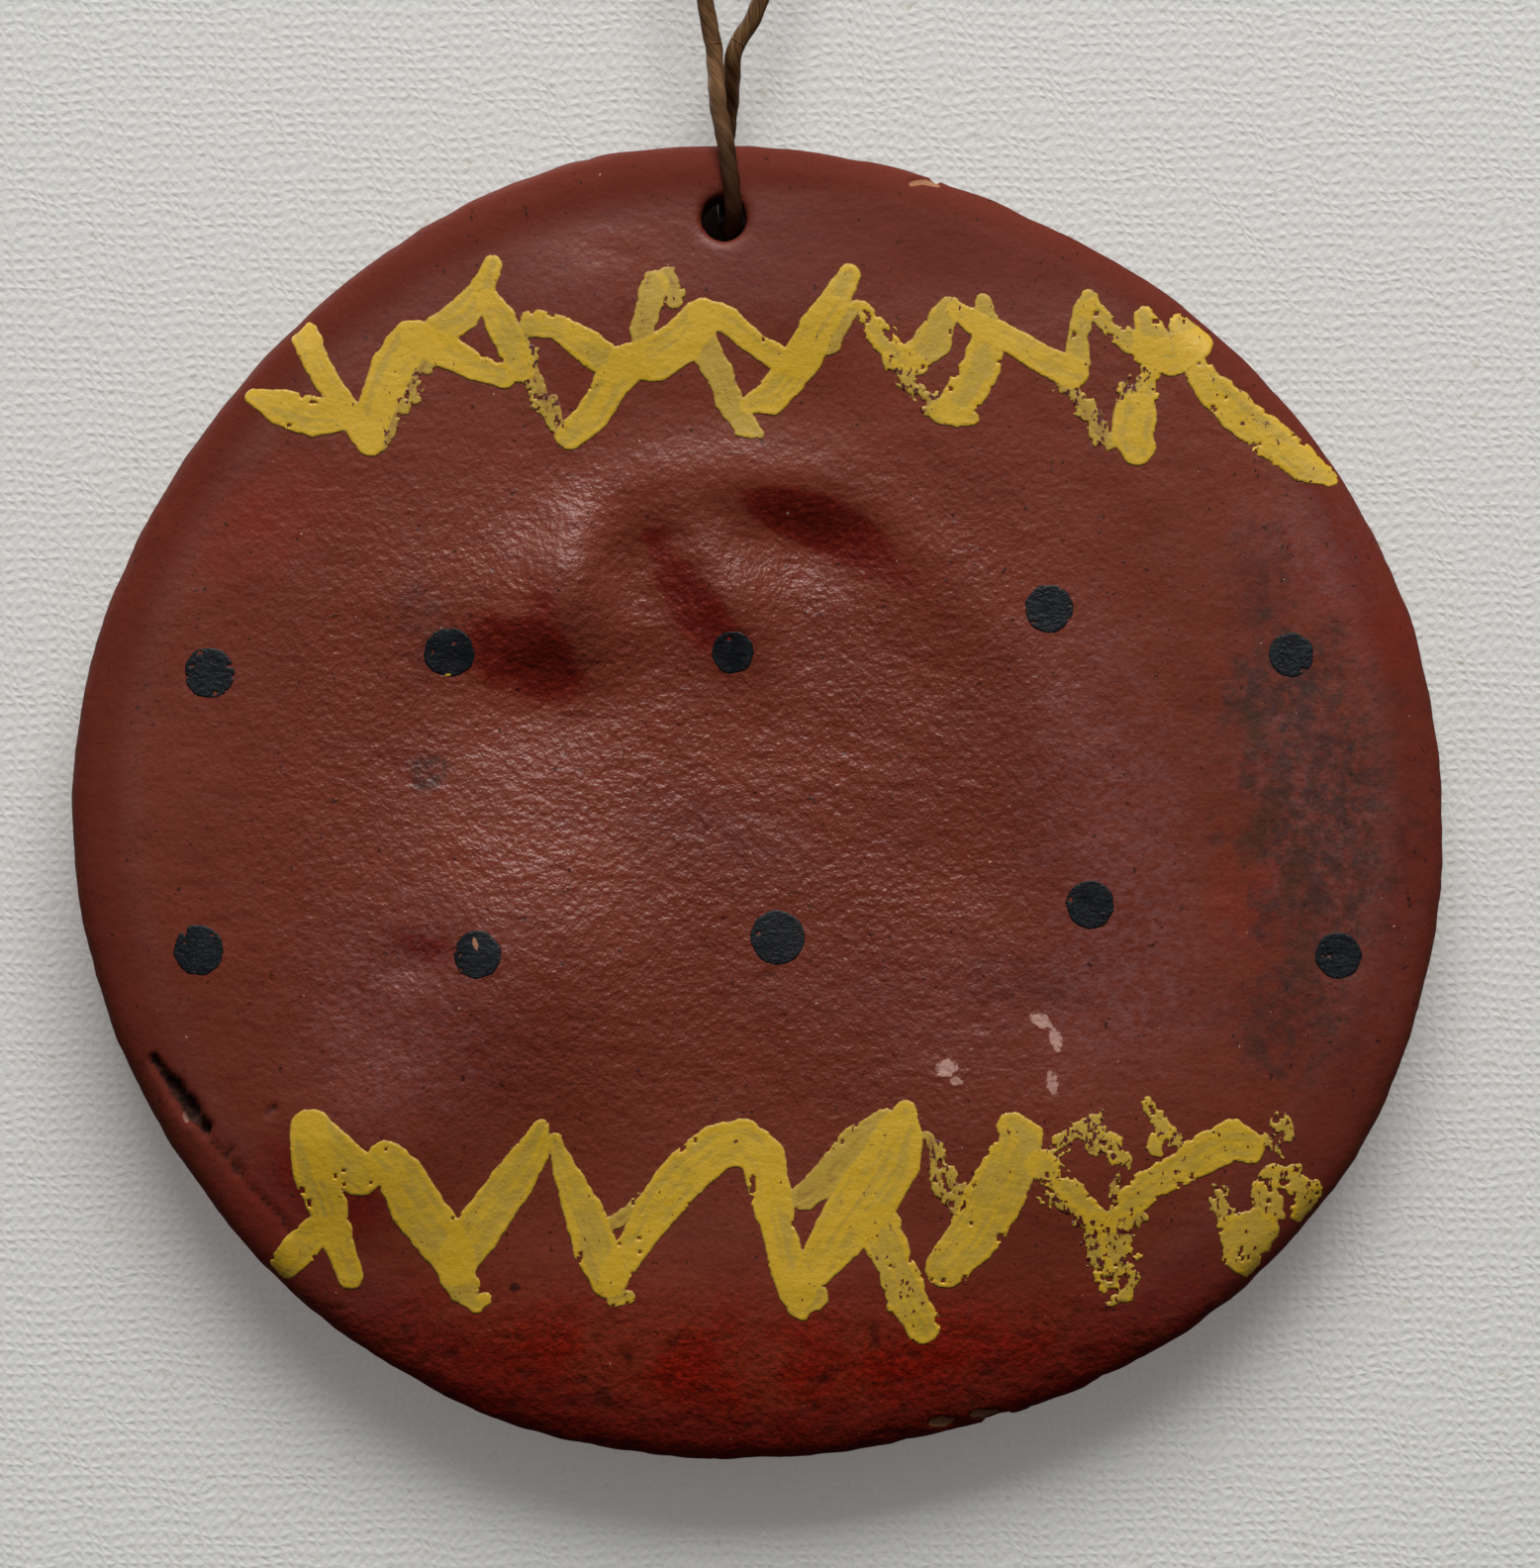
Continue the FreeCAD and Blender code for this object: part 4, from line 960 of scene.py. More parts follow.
class Shader:
    """A material under construction. Each method adds nodes and returns the socket to read."""

    def __init__(self, name):
        self.material = bpy.data.materials.new(name)
        self.material.use_nodes = True
        self.tree = self.material.node_tree
        self.surface = self.tree.nodes["Principled BSDF"]
        coordinates = self.add("TexCoord").outputs["Object"]
        scaled = self.add("VectorMath", {0: coordinates, "Scale": 1.0 / MM}, operation="SCALE")
        self.place = scaled.outputs[0]

    def add(self, kind, sockets=None, **settings):
        node = self.tree.nodes.new("ShaderNode" + kind)
        for setting, value in settings.items():
            setattr(node, setting, value)
        for key, value in (sockets or {}).items():
            if isinstance(value, bpy.types.NodeSocket):
                self.tree.links.new(value, node.inputs[key])
            else:
                node.inputs[key].default_value = value
        return node

    def noise(self, cell, detail=3.0, rough=0.55, offset=0.0, place=None):
        """Cloudy noise from 0 to 1 whose grains have a given size in mm, one size or three."""
        sizes = (cell,) * 3 if isinstance(cell, (int, float)) else cell
        shrink = [1.0 / size for size in sizes]
        sockets = {"Vector": place or self.place, "Location": (offset,) * 3, "Scale": shrink}
        mapped = self.add("Mapping", sockets).outputs[0]
        sockets = {"Vector": mapped, "Scale": 1.0, "Detail": detail, "Roughness": rough}
        return self.add("TexNoise", sockets).outputs[0]

    def attribute(self, name):
        return self.add("Attribute", attribute_name=name).outputs["Fac"]

    def maths(self, operation, first, second=0.0):
        return self.add("Math", {0: first, 1: second}, operation=operation).outputs[0]

    def times(self, first, second):
        return self.maths("MULTIPLY", first, second)

    def opposite(self, value):
        return self.maths("SUBTRACT", 1.0, value)

    def all_of(self, first, *others):
        """1 where every mask is 1."""
        for mask in others:
            first = self.times(first, mask)
        return first

    def remap(self, value, low, high, to_low=0.0, to_high=1.0):
        sockets = {"Value": value, "From Min": low, "From Max": high, "To Min": to_low, "To Max": to_high}
        return self.add("MapRange", sockets, interpolation_type="SMOOTHSTEP").outputs[0]

    def mix(self, share, first, second):
        """Colour between two colours."""
        node = self.add("Mix", {0: share, 6: first, 7: second}, data_type="RGBA")
        return node.outputs[2]

    def lay(self, colour, tone, value, low, high, strength=1.0):
        """A tone laid over a colour: not at all where value is low, at full strength where it is high."""
        return self.mix(self.remap(value, low, high, 0.0, strength), colour, tone)

    def blot(self, across, up, wide, tall, turn=0.0, ragged=0.35, soft=0.5, cell=1.2):
        """1 inside a ragged patch of the disc, 0 outside it."""
        sockets = {
            "Vector": self.place,
            "Location": (across, 0.0, up),
            "Rotation": (0.0, -math.radians(turn), 0.0),
            "Scale": (wide, 1000.0, tall),
        }
        local = self.add("Mapping", sockets, vector_type="TEXTURE").outputs[0]
        distance = self.add("VectorMath", {0: local}, operation="LENGTH").outputs["Value"]
        clouds = self.noise(cell, detail=3.0, offset=across + 3.0 * up)
        shift = self.times(self.maths("SUBTRACT", clouds, 0.5), 4.0 * ragged)
        return self.remap(self.maths("ADD", distance, shift), 1.0 + soft / 2.0, 1.0 - soft / 2.0)

    def bump(self, height, distance, strength=1.0, normal=None):
        """Normal roughened by a height from 0 to 1, where 1 stands distance mm proud."""
        sockets = {"Height": height, "Distance": distance * MM, "Strength": strength}
        if normal is not None:
            sockets["Normal"] = normal
        return self.add("Bump", sockets).outputs[0]

    def finish(self, colour, roughness, normal, specular=0.5):
        sockets = (("Base Color", colour), ("Roughness", roughness), ("Normal", normal))
        for key, value in sockets:
            self.tree.links.new(value, self.surface.inputs[key])
        self.surface.inputs["Specular IOR Level"].default_value = specular
        return self.material


BRICK = from_display(110, 44, 27)
BRICK_LIGHT = from_display(120, 51, 33)
BRICK_DEEP = from_display(84, 22, 12)
BRICK_BRIGHT = from_display(134, 40, 24)
BRICK_RICH = from_display(98, 15, 4)
BRICK_FIERY = from_display(138, 24, 9)
BRICK_EMBER = from_display(118, 32, 13)
SOOT = from_display(60, 38, 34)
SHEEN_MAUVE = from_display(122, 70, 66)
OLIVE = from_display(64, 40, 22)
SHEEN_TINT = (1.0, 0.90, 0.85, 1.0)
ROUGH_BACK, ROUGH_GOUGE, ROUGH_RIM = ((share,) * 3 + (1.0,) for share in (0.85, 0.9, 0.8))
CLAY_BARE = from_display(160, 112, 82)
CLAY_BACK = from_display(140, 88, 62)
CLAY_SMOKED = from_display(106, 66, 48)
CLAY_DARK = from_display(34, 14, 10)
SHADE_IN_GOUGE = from_display(72, 36, 28)
CLAY_PALE = from_display(196, 160, 134)
FLECK = from_display(196, 152, 138)

# smoky marks: across, up, wide, tall, turn, raggedness, softness, strength
SMUDGES = [
    (30.4, 3.8, 4.2, 6.0, 10.0, 0.8, 1.2, 0.75),
    (31.6, -3.2, 4.0, 5.0, -8.0, 0.8, 1.1, 0.75),
    (28.6, 6.6, 2.8, 2.2, 20.0, 0.7, 1.1, 0.7),
    (29.8, -11.6, 3.4, 3.0, 10.0, 0.8, 1.1, 0.65),
    (27.6, 13.0, 1.6, 2.8, 0.0, 0.7, 1.2, 0.45),
    (-18.2, 2.2, 1.1, 0.9, 0.0, 0.5, 0.9, 0.75),
    (-18.6, 10.6, 1.4, 2.6, 12.0, 0.6, 1.2, 0.4),
    (14.5, -9.5, 3.6, 1.6, 0.0, 0.7, 1.2, 0.25),
    (-3.0, -1.5, 5.0, 2.0, -20.0, 0.7, 1.3, 0.22),
]
# painted sheen: pale mauve patches where the light glances off the face, broken up into glints
PAINTED_SHEEN = [
    (31.0, 14.6, 3.6, 3.4, 20.0, 0.6, 1.4, 0.6),
    (33.0, -5.0, 3.2, 7.0, 0.0, 0.6, 1.4, 0.5),
    (29.5, 1.5, 2.6, 5.0, 8.0, 0.7, 1.4, 0.55),
    (19.6, -1.0, 3.6, 9.0, 6.0, 0.6, 1.6, 0.62),
    (20.5, -9.5, 3.6, 4.0, 0.0, 0.6, 1.6, 0.5),
    (12.0, -10.5, 9.0, 3.0, -6.0, 0.6, 1.6, 0.3),
    (-19.6, -10.5, 5.0, 6.0, 10.0, 0.6, 1.6, 0.55),
    (-13.0, 27.0, 6.0, 3.0, 10.0, 0.6, 1.6, 0.25),
]
# thin olive-brown stains
STAINS = [
    (27.3, 4.9, 0.6, 1.3, 10.0, 0.45, 1.4, 0.55),
    (27.6, -1.0, 0.7, 2.6, -24.0, 0.45, 1.3, 0.6),
    (29.5, -3.6, 0.6, 2.2, -14.0, 0.45, 1.4, 0.5),
    (30.0, -8.0, 0.6, 1.8, 6.0, 0.5, 1.4, 0.4),
]
# places where the red is fresher
FRESH = [
    (-27.3, 15.9, 4.2, 2.6, 20.0, 0.6, 1.6, 0.45),
    (34.9, 9.3, 1.6, 1.8, 10.0, 0.6, 1.4, 0.6),
    (27.0, -5.0, 2.0, 2.4, 0.0, 0.6, 1.6, 0.4),
    (33.5, 13.5, 2.6, 3.0, 0.0, 0.6, 1.6, 0.3),
    (-27.5, -23.0, 3.4, 1.8, -44.0, 0.6, 1.5, 0.6),
]
# small pale flecks stuck on the red
FLECKS = [
    (10.4, -14.2, 0.52, 0.50, 30.0, 0.45, 0.4, 0.85),
    (10.9, -14.9, 0.30, 0.26, 0.0, 0.45, 0.4, 0.6),
    (15.6, -11.6, 0.60, 0.34, -24.0, 0.45, 0.4, 0.85),
    (16.4, -12.6, 0.30, 0.66, 20.0, 0.45, 0.4, 0.8),
    (16.2, -15.0, 0.28, 0.60, 8.0, 0.55, 0.5, 0.65),
    (-31.6, -16.9, 0.16, 0.3, 20.0, 0.3, 0.3, 0.7),
]
# dark spots
SPOTS = [
    (-8.5, -32.3, 0.55, 0.6, 0.0, 0.4, 0.8, 0.75),
    (-13.4, -26.3, 0.3, 0.25, 0.0, 0.4, 0.6, 0.8),
]


# each kind of patch in the order it is laid on, with its tone and the grain of its ragged edge (mm)
PATCHES = [
    ("fresh", FRESH, BRICK_BRIGHT, 1.2),
    ("painted_sheen", PAINTED_SHEEN, SHEEN_MAUVE, 1.2),
    ("smudges", SMUDGES, SOOT, 1.2),
    ("stains", STAINS, OLIVE, 1.2),
    ("spots", SPOTS, CLAY_DARK, 1.2),
    ("flecks", FLECKS, FLECK, 0.3),
]


def clay_material():
    shader = Shader("painted_red_clay")
    broad = shader.noise(13.0, detail=3.0, offset=4.0)
    cloudy = shader.noise(4.0, detail=4.0, rough=0.6, offset=9.0)
    brushed = shader.noise((3.2, 2.0, 0.7), detail=4.0, rough=0.6, offset=2.0)
    fine = shader.noise((0.5, 0.4, 0.3), detail=3.0, rough=0.6, offset=6.0)
    colour = shader.lay(BRICK, BRICK_LIGHT, broad, 0.35, 0.65)
    colour = shader.lay(colour, BRICK, cloudy, 0.35, 0.75, 0.55)
    colour = shader.lay(colour, BRICK_DEEP, brushed, 0.52, 0.72, 0.35)
    colour = shader.lay(colour, BRICK_DEEP, fine, 0.56, 0.74, 0.4)
    # painted shade: a deeper, darker red on the slopes that face away from the light, broken up by the grain
    ember = shader.lay(BRICK_RICH, BRICK_EMBER, fine, 0.46, 0.66)
    broken = shader.maths("ADD", shader.maths("SUBTRACT", fine, 0.5), shader.maths("SUBTRACT", cloudy, 0.5))
    painted_shade = shader.maths("ADD", shader.attribute("painted_shade"), shader.times(broken, 0.9))
    not_elsewhere = shader.remap(shader.attribute("painted_shade"), 0.0, 0.3)
    painted_shade = shader.times(shader.remap(painted_shade, 0.1, 0.9), not_elsewhere)
    colour = shader.mix(painted_shade, colour, ember)
    # along the lower edge the red turns deeper and grainier, in patches
    sandy = shader.noise((0.42, 0.4, 0.26), detail=3.0, rough=0.7, offset=38.0)
    fiery = shader.lay(BRICK_RICH, BRICK_FIERY, sandy, 0.40, 0.64)
    patchy = shader.remap(cloudy, 0.36, 0.62, 0.45, 0.95)
    deeper_red_below = shader.times(shader.attribute("coarse"), patchy)
    colour = shader.mix(deeper_red_below, colour, fiery)
    # painted shade in the small pits along the lower edge
    pitted = shader.times(shader.attribute("pits"), shader.remap(fine, 0.35, 0.6, 0.2, 0.8))
    colour = shader.mix(pitted, colour, CLAY_DARK)
    mottled = shader.noise(0.8, detail=5.0, rough=0.75, offset=12.0)
    # noise that breaks the painted sheen into glints
    sheen_glints = shader.noise((0.5, 0.4, 0.34), detail=4.0, rough=0.7, offset=14.0)
    broken_by = {
        "smudges": shader.remap(mottled, 0.36, 0.62, 0.1, 1.1),
        "painted_sheen": shader.remap(sheen_glints, 0.42, 0.62, 0.1, 1.2),
    }
    for kind, patches, tone, cell in PATCHES:
        for *patch, strength in patches:
            mask = shader.times(shader.blot(*patch, cell=cell), strength)
            if kind in broken_by:
                mask = shader.times(mask, broken_by[kind])
            colour = shader.mix(mask, colour, tone)
    # painted shade: the red darkened along the rim and across the top
    shade_on_rim_and_top = shader.times(shader.attribute("matte"), 0.5)
    colour = shader.mix(shade_on_rim_and_top, colour, BRICK_DEEP)
    back_tone = shader.lay(CLAY_BACK, CLAY_BARE, broad, 0.3, 0.7)
    smoke = shader.noise(2.4, detail=5.0, rough=0.65, offset=52.0)
    back_tone = shader.lay(back_tone, CLAY_SMOKED, smoke, 0.45, 0.75, 0.6)
    back_tone = shader.lay(back_tone, BRICK_LIGHT, cloudy, 0.55, 0.8, 0.6)
    uneven_edge = shader.times(shader.maths("SUBTRACT", cloudy, 0.5), 1.6)
    smeared = shader.remap(shader.maths("ADD", shader.attribute("matte"), uneven_edge), 0.25, 0.6)
    unpainted = shader.times(shader.attribute("behind"), shader.opposite(smeared))
    colour = shader.mix(unpainted, colour, back_tone)
    specks = shader.noise(0.42, detail=2.0, offset=31.0)
    colour = shader.lay(colour, CLAY_DARK, specks, 0.67, 0.74, 0.8)
    grain = shader.noise((0.34, 0.3, 0.2), detail=3.0, rough=0.7, offset=35.0)
    colour = shader.lay(colour, BRICK_DEEP, grain, 0.52, 0.72, 0.55)
    crumbs = shader.noise(0.36, detail=1.0, offset=44.0)
    colour = shader.lay(colour, CLAY_PALE, crumbs, 0.80, 0.83, 0.7)
    colour = shader.lay(colour, CLAY_BARE, shader.attribute("bare"), 0.3, 0.6)
    # painted shade in the gouge and the cracks, mottled between two dark tones
    faint = shader.times(shader.attribute("crack"), 0.62)
    dark = shader.maths("MAXIMUM", shader.attribute("gouge"), faint)
    gouge_and_crack_shade = shader.lay(CLAY_DARK, SHADE_IN_GOUGE, fine, 0.4, 0.7)
    colour = shader.lay(colour, gouge_and_crack_shade, dark, 0.25, 0.75)

    skin = shader.noise((0.9, 0.8, 0.8), detail=3.0, rough=0.5, offset=20.0)
    leather = shader.noise((0.4, 0.4, 0.38), detail=2.0, rough=0.5, offset=23.0)
    grit = shader.noise(0.16, detail=2.0, rough=0.6, offset=27.0)
    wrinkled = shader.remap(shader.attribute("wrinkled"), 0.0, 1.0, 0.3, 1.0)
    normal = shader.bump(shader.times(skin, wrinkled), 0.09)
    normal = shader.bump(shader.times(leather, wrinkled), 0.125, normal=normal)
    normal = shader.bump(shader.times(grit, wrinkled), 0.022, normal=normal)
    gloss = shader.remap(cloudy, 0.3, 0.7, 0.32, 0.41)
    roughness = shader.mix(shader.attribute("behind"), gloss, ROUGH_BACK)
    roughness = shader.mix(shader.remap(dark, 0.2, 0.7), roughness, ROUGH_GOUGE)
    roughness = shader.mix(shader.attribute("matte"), roughness, ROUGH_RIM)
    dull = shader.times(shader.attribute("matte"), 0.62)
    dull = shader.maths("MAXIMUM", dull, shader.attribute("coarse"))
    sheen = shader.remap(dull, 0.0, 1.0, 0.5, 0.08)
    shader.tree.links.new(sheen, shader.surface.inputs["Specular IOR Level"])
    shader.surface.inputs["Specular Tint"].default_value = SHEEN_TINT
    return shader.finish(colour, roughness, normal)


YELLOW = from_display(206, 163, 32)
YELLOW_DULL = from_display(184, 150, 50)
YELLOW_THIN = from_display(148, 104, 44)


def yellow_material():
    shader = Shader("brushed_yellow")
    cover = shader.attribute("cover")
    streaks = shader.noise((0.9, 0.6, 0.22), detail=3.0, offset=3.0)
    worn = shader.maths("ADD", cover, shader.times(shader.maths("SUBTRACT", streaks, 0.5), 0.35))
    gaps = shader.noise((0.34, 0.3, 0.46), detail=2.0, rough=0.6, offset=15.0)
    gaps = shader.maths("ADD", gaps, shader.times(shader.attribute("dry"), 0.26))
    colour = shader.lay(YELLOW_THIN, YELLOW_DULL, worn, 0.18, 0.55)
    colour = shader.lay(colour, YELLOW, worn, 0.62, 0.95)
    pits = shader.noise(0.3, detail=2.0, offset=8.0)
    colour = shader.lay(colour, BRICK_DEEP, pits, 0.70, 0.76, 0.6)
    colour = shader.lay(colour, BRICK_DEEP, gaps, 0.70, 0.76)
    normal = shader.bump(shader.noise((0.5, 0.4, 0.4), detail=4.0, rough=0.6, offset=5.0), 0.055)
    roughness = shader.remap(shader.noise(1.4, detail=3.0, offset=7.0), 0.3, 0.7, 0.42, 0.6)
    return shader.finish(colour, roughness, normal)


INK = from_display(13, 15, 20)
INK_PALE = from_display(38, 44, 50)
YELLOW_SPECK = (-17.1, 7.45, 0.2, 0.08, 10.0, 0.2, 0.3)
TAN_CHIP = (-15.5, -7.3, 0.13, 0.36, 14.0, 0.25, 0.3)


def black_material():
    shader = Shader("blue_black")
    streaks = shader.noise((0.34, 0.3, 0.2), detail=3.0, rough=0.65, offset=3.0)
    clouds = shader.noise(0.8, detail=3.0, offset=13.0)
    # paler streaks in the ink: brush texture, and partly a painted sheen
    pale = shader.times(shader.remap(streaks, 0.5, 0.75), shader.remap(clouds, 0.35, 0.7))
    colour = shader.mix(pale, INK, INK_PALE)
    colour = shader.mix(shader.blot(*YELLOW_SPECK, cell=0.3), colour, YELLOW)
    colour = shader.mix(shader.blot(*TAN_CHIP, cell=0.3), colour, CLAY_BARE)
    normal = shader.bump(streaks, 0.06)
    normal = shader.bump(shader.noise(0.3, detail=3.0, offset=17.0), 0.04, normal=normal)
    roughness = shader.remap(clouds, 0.3, 0.7, 0.36, 0.55)
    return shader.finish(colour, roughness, normal, specular=0.3)


CORD_BROWN = from_display(132, 94, 57)
CORD_LIGHT = from_display(148, 112, 74)
CORD_DARK = from_display(62, 40, 22)
CORD_SHADED_BY_HOLE = from_display(50, 21, 5)
# heights between which the cord's painted shade and painted red reflection, dark by the hole, fade into its
# own brown (mm)
CORD_SHADE_HEIGHTS = (34.0, 41.5)


def cord_material():
    shader = Shader("waxed_cord")
    ring_x, ring_y, along = (shader.attribute(name) for name in ("ring_x", "ring_y", "along"))
    place = shader.add("CombineXYZ", {0: ring_x, 1: ring_y, 2: along}).outputs[0]
    fibres = shader.noise((0.16, 0.16, 1.6), detail=3.0, rough=0.6, place=place)
    fine = shader.noise((0.07, 0.07, 0.6), detail=2.0, offset=4.0, place=place)
    blotches = shader.noise((2.0, 2.0, 2.4), detail=3.0, offset=8.0, place=place)
    colour = shader.lay(CORD_DARK, CORD_BROWN, fibres, 0.35, 0.7)
    colour = shader.lay(colour, CORD_LIGHT, fine, 0.5, 0.75, 0.7)
    colour = shader.lay(colour, CORD_DARK, blotches, 0.4, 0.7, 0.5)
    height = shader.add("SeparateXYZ", {0: shader.place}).outputs["Z"]
    # painted shade and painted red reflection from the clay on the cord by the hole
    colour = shader.mix(shader.remap(height, *CORD_SHADE_HEIGHTS, 0.85, 0.0), colour, CORD_SHADED_BY_HOLE)
    normal = shader.bump(fibres, 0.07)
    normal = shader.bump(fine, 0.03, normal=normal)
    roughness = shader.remap(blotches, 0.3, 0.7, 0.5, 0.72)
    return shader.finish(colour, roughness, normal, specular=0.12)


# ---------------------------------------------------------------- stage

CANVAS = from_display(204, 203, 198)
CANVAS_SPECK = from_display(172, 160, 134)
FLOOR_PALE = from_display(115, 114, 111)
# even light the ground gives off towards the camera alone, so that shadows on it stay pale
GROUND_GLOW = 0.125
FLOOR_GLOW = 0.335
GROUND_DARK = from_display(40, 38, 36)
THREAD_PITCH = 1.0
WEAVE_DEPTH = 0.5
CANVAS_BUMP = 0.085
GLOW_TINT = (1.0, 0.99, 0.97, 1.0)
# how straight a camera has to look at the sheet to see it, as a cosine
FACING_SHOWN = 0.93
# the sheet also stops light for what lies this near to it (metres), except behind the disc
NEAR_SHEET = 0.014
# half sizes of the patch that the disc covers (mm)
DISC_PRINT = (36.8, 35.0, 1.0)
# the sheet carries a painted shadow within this share of those half sizes
PRINT_REACH = 0.98
# how far out the sheet stops light, in half sizes of the disc
STOP_REACH = 1.2
# it stops nothing for the back face, which lies nearer to it than this (metres)
BACK_CLEARANCE = 0.0025
# round the hole, within this of its axis, the sheet stops light too (mm)
HOLE_REACH = 3.5
# the sheet's distance behind the disc's back at rest, and how far it backs away (metres)
# for each metre that the disc's body shifts and each radian that it turns
SHEET_GAP = 0.4 * MM
BACK_PER_SHIFT, BACK_PER_TURN = 1.8, 0.045
SHEET_SIZE, FLOOR_SIZE = 3.0, 12.0
FLOOR_DROP = 0.022


def plane(name, centre, size, turn):
    """A flat sheet of the stage, facing +Z before it is turned about X."""
    half = size / 2.0
    corners = [(-half, -half, 0.0), (half, -half, 0.0), (half, half, 0.0), (-half, half, 0.0)]
    sheet = mesh_object(name, corners, np.array([[0, 1, 2, 3]]))
    sheet.rotation_euler = (turn, 0.0, 0.0)
    sheet.location = centre
    return sheet


def woven(shader):
    """Height of a plain weave with some fluff on it, from 0 to about 1."""
    bent = shader.times(shader.maths("SUBTRACT", shader.noise(3.0, detail=2.0), 0.5), 1.6)
    bent = shader.add("VectorMath", {0: shader.place, 1: bent}, operation="ADD").outputs[0]
    threads = []
    for way in ("X", "Y"):
        sockets = {"Vector": bent, "Scale": 1.0 / THREAD_PITCH / 2.0, "Distortion": 0.8, "Detail": 2.0}
        threads.append(shader.add("TexWave", sockets, bands_direction=way).outputs["Fac"])
    weave = shader.times(shader.maths("MAXIMUM", *threads), WEAVE_DEPTH)
    return shader.maths("ADD", weave, shader.noise(0.5, detail=4.0, rough=0.65, offset=5.0))


def finish_ground(shader, weave, colour, glow):
    """Dull woven finish that gives off an even light of its own."""
    shader.tree.links.new(glow, shader.surface.inputs["Emission Strength"])
    shader.surface.inputs["Emission Color"].default_value = GLOW_TINT
    roughness = shader.remap(weave, 0.3, 0.7, 0.85, 0.95)
    return shader.finish(colour, roughness, shader.bump(weave, CANVAS_BUMP), specular=0.2)


def floor_material():
    """Pale to the camera, but dark to everything else, so that it throws little light back."""
    shader = Shader("pale_floor")
    seen = shader.add("LightPath").outputs["Is Camera Ray"]
    colour = shader.mix(seen, GROUND_DARK, FLOOR_PALE)
    return finish_ground(shader, woven(shader), colour, shader.times(seen, FLOOR_GLOW))


def sheet_material():
    """Canvas that shows only to a camera that looks straight at it.

    While the disc rests by it, it carries a painted shadow, dark, where the disc covers it, and it
    stops the light that would creep in round the disc's edge and through the hole.
    """
    shader = Shader("canvas_behind")
    light = shader.add("LightPath").outputs
    seen = light["Is Camera Ray"]
    covered = shader.add("VectorMath", {0: shader.place, 1: DISC_PRINT}, operation="DIVIDE").outputs[0]
    reach = shader.add("VectorMath", {0: covered}, operation="LENGTH").outputs["Value"]
    place_y = shader.add("SeparateXYZ", {0: shader.add("ObjectInfo").outputs["Location"]}).outputs["Y"]
    close_by = shader.maths("LESS_THAN", place_y, SHEET_GAP + 0.2 * MM)
    # painted shadow: the sheet is dark, and gives off no light, where the disc covers it
    shadow_under_disc = shader.times(shader.maths("LESS_THAN", reach, PRINT_REACH), close_by)
    specks = shader.noise(0.8, detail=3.0, offset=8.0)
    colour = shader.lay(CANVAS, CANVAS_SPECK, specks, 0.62, 0.76, 0.6)
    colour = shader.mix(shadow_under_disc, colour, GROUND_DARK)
    glow = shader.times(shader.times(seen, GROUND_GLOW), shader.opposite(shadow_under_disc))
    material = finish_ground(shader, woven(shader), colour, glow)

    geometry = shader.add("NewGeometry").outputs
    sockets = {0: geometry["Incoming"], 1: geometry["True Normal"]}
    ahead = shader.add("VectorMath", sockets, operation="DOT_PRODUCT").outputs["Value"]
    looked_at = shader.maths("GREATER_THAN", ahead, FACING_SHOWN)
    shown = shader.all_of(seen, looked_at, shader.opposite(geometry["Backfacing"]))
    hole_at = {0: shader.place, 1: (HOLE_X, HOLE_Z, 0.0)}
    from_hole = shader.add("VectorMath", hole_at, operation="DISTANCE").outputs["Value"]
    by_hole = shader.maths("LESS_THAN", from_hole, HOLE_REACH)
    beside = shader.maths("GREATER_THAN", reach, 1.0)
    stops = shader.all_of(
        shader.maths("LESS_THAN", light["Ray Length"], NEAR_SHEET),
        shader.maths("GREATER_THAN", light["Ray Length"], BACK_CLEARANCE),
        shader.opposite(seen),
        shader.maths("MAXIMUM", beside, by_hole),
        close_by,
        shader.maths("LESS_THAN", reach, STOP_REACH),
    )
    solid = shader.maths("MAXIMUM", shown, stops)
    clear = shader.add("BsdfTransparent").outputs[0]
    mixed = shader.add("MixShader", {0: solid, 1: clear, 2: shader.surface.outputs[0]}).outputs[0]
    shader.tree.links.new(mixed, shader.tree.nodes["Material Output"].inputs["Surface"])
    return material


def add_backdrop():
    """The pale sheet behind the disc. It backs away when the disc swings, so that nothing cuts it."""
    sheet = plane("backdrop", (0.0, SHEET_GAP, 0.0), SHEET_SIZE, math.pi / 2.0)
    sheet.data.materials.append(sheet_material())
    driver = sheet.driver_add("location", 1).driver
    driver.type = "SCRIPTED"
    for name, kind in (("swing", "LOC_DIFF"), ("turn", "ROTATION_DIFF")):
        variable = driver.variables.new()
        variable.name = name
        variable.type = kind
        variable.targets[0].id = frame["bodies"]["disc"]
        variable.targets[1].id = frame["bodies"]["hanger"]
    driver.expression = f"{SHEET_GAP} + {BACK_PER_SHIFT} * swing + {BACK_PER_TURN} * turn"


def add_floor():
    floor = plane("floor", (0.0, 0.0, cad_box[0].z - FLOOR_DROP), FLOOR_SIZE, 0.0)
    floor.data.materials.append(floor_material())


def add_area_light(name, place, size, power):
    """A soft light that points at the disc's middle."""
    lamp = bpy.data.lights.new(name, "AREA")
    lamp.shape = "RECTANGLE"
    lamp.size, lamp.size_y = size
    lamp.energy = power
    holder = bpy.data.objects.new(name, lamp)
    holder.location = place
    holder.rotation_euler = (-Vector(place)).to_track_quat("-Z", "Y").to_euler()
    bpy.context.scene.collection.objects.link(holder)


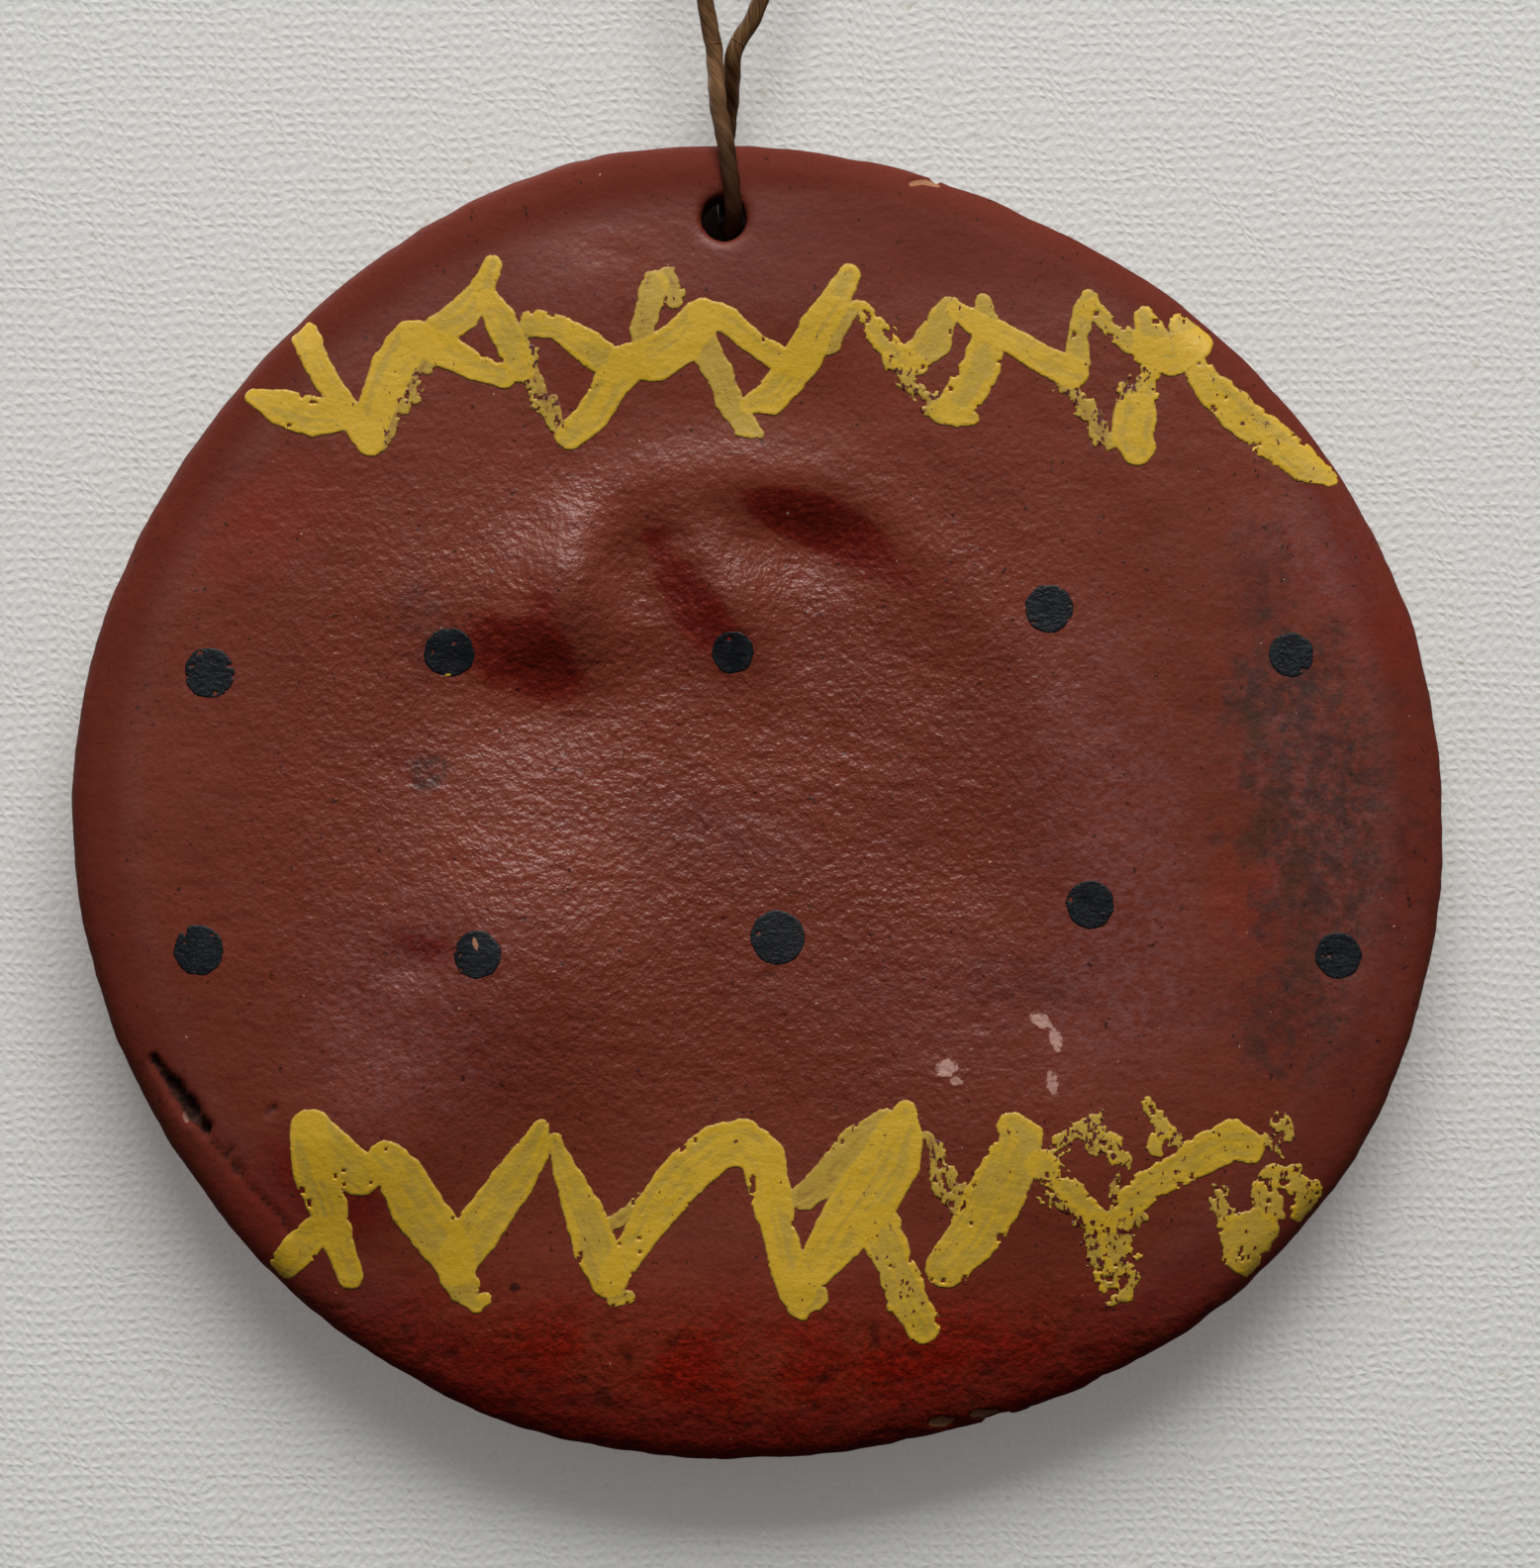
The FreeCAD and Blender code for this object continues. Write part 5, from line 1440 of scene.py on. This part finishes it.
def add_world(seen, above, below):
    """Soft light that falls mostly from above; the camera itself sees an even pale grey."""
    world = bpy.data.worlds.new("studio")
    world.use_nodes = True
    tree = world.node_tree
    background = tree.nodes["Background"]
    direction = tree.nodes.new("ShaderNodeTexCoord").outputs["Generated"]
    split = tree.nodes.new("ShaderNodeSeparateXYZ")
    tree.links.new(direction, split.inputs[0])
    fade = tree.nodes.new("ShaderNodeMapRange")
    fade.interpolation_type = "SMOOTHSTEP"
    for key, value in (("From Min", -0.1), ("From Max", 0.9), ("To Min", below), ("To Max", above)):
        fade.inputs[key].default_value = value
    tree.links.new(split.outputs["Z"], fade.inputs["Value"])
    choice = tree.nodes.new("ShaderNodeMix")
    choice.inputs["B"].default_value = seen
    tree.links.new(fade.outputs[0], choice.inputs["A"])
    tree.links.new(tree.nodes.new("ShaderNodeLightPath").outputs["Is Camera Ray"], choice.inputs["Factor"])
    tree.links.new(choice.outputs[0], background.inputs["Strength"])
    background.inputs["Color"].default_value = (0.97, 0.98, 1.0, 1.0)
    bpy.context.scene.world = world


VIEW_DISTANCE = 0.35
# the disc's share of the picture's width, and the picture's height for its width of 1
DISC_SHARE = 0.8882
FRAME_SHAPE = 1584.0 / 1556.0
# how far right of the disc's middle and above it the camera looks, in disc widths
VIEW_ASIDE = (0.0091, 0.0132)
SENSOR = 36.0


def add_camera():
    """Looks along +Y at the disc, which fills DISC_SHARE of the picture's width."""
    camera = bpy.data.cameras.new("camera")
    camera.sensor_width = SENSOR
    long_side = DISC_WIDTH / DISC_SHARE * FRAME_SHAPE
    camera.lens = SENSOR * VIEW_DISTANCE / long_side
    camera.clip_start = 0.01
    camera.clip_end = 20.0
    holder = bpy.data.objects.new("camera", camera)
    holder.location = (
        middle(DISC_LOW.x, DISC_HIGH.x) + VIEW_ASIDE[0] * DISC_WIDTH,
        middle(DISC_LOW.y, DISC_HIGH.y) - VIEW_DISTANCE,
        middle(DISC_LOW.z, DISC_HIGH.z) + VIEW_ASIDE[1] * DISC_WIDTH,
    )
    holder.rotation_euler = (math.pi / 2.0, 0.0, 0.0)
    bpy.context.scene.collection.objects.link(holder)
    bpy.context.scene.camera = holder


# ---------------------------------------------------------------- the object

clay = shape_clay(clay_copy())
clay.data.materials.clear()
clay.data.materials.append(clay_material())
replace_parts(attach(clay, "disc"), "clay_disc")
front_map = FrontMap(clay)

yellow = yellow_material()
black = black_material()
FILMS = [
    ("upper_zigzag", UPPER_MARKS, *ZIGZAG_FILM, yellow, "yellow_paint"),
    ("lower_zigzag", LOWER_MARKS, *ZIGZAG_FILM, yellow, "yellow_paint"),
    ("upper_dots", UPPER_DOT_MARKS, *DOT_FILM, black, "black_paint"),
    ("lower_dots", LOWER_DOT_MARKS, *DOT_FILM, black, "black_paint"),
]
for node, marks, step, thickness, material, slot in FILMS:
    painted = film(f"{node}_paint", marks, front_map, step, thickness)
    painted.data.materials.append(material)
    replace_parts(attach(painted, "disc"), node)

build_cord(cord_material())

# ---------------------------------------------------------------- studio

add_backdrop()
add_floor()
add_area_light("key", (0.09, -0.60, 0.80), size=(0.75, 0.52), power=11.0)
add_area_light("back_fill", (-0.35, 0.55, 0.40), size=(0.6, 0.6), power=6.0)
add_world(seen=0.62, above=0.42, below=0.20)
add_camera()
bpy.context.scene.view_settings.view_transform = "Standard"
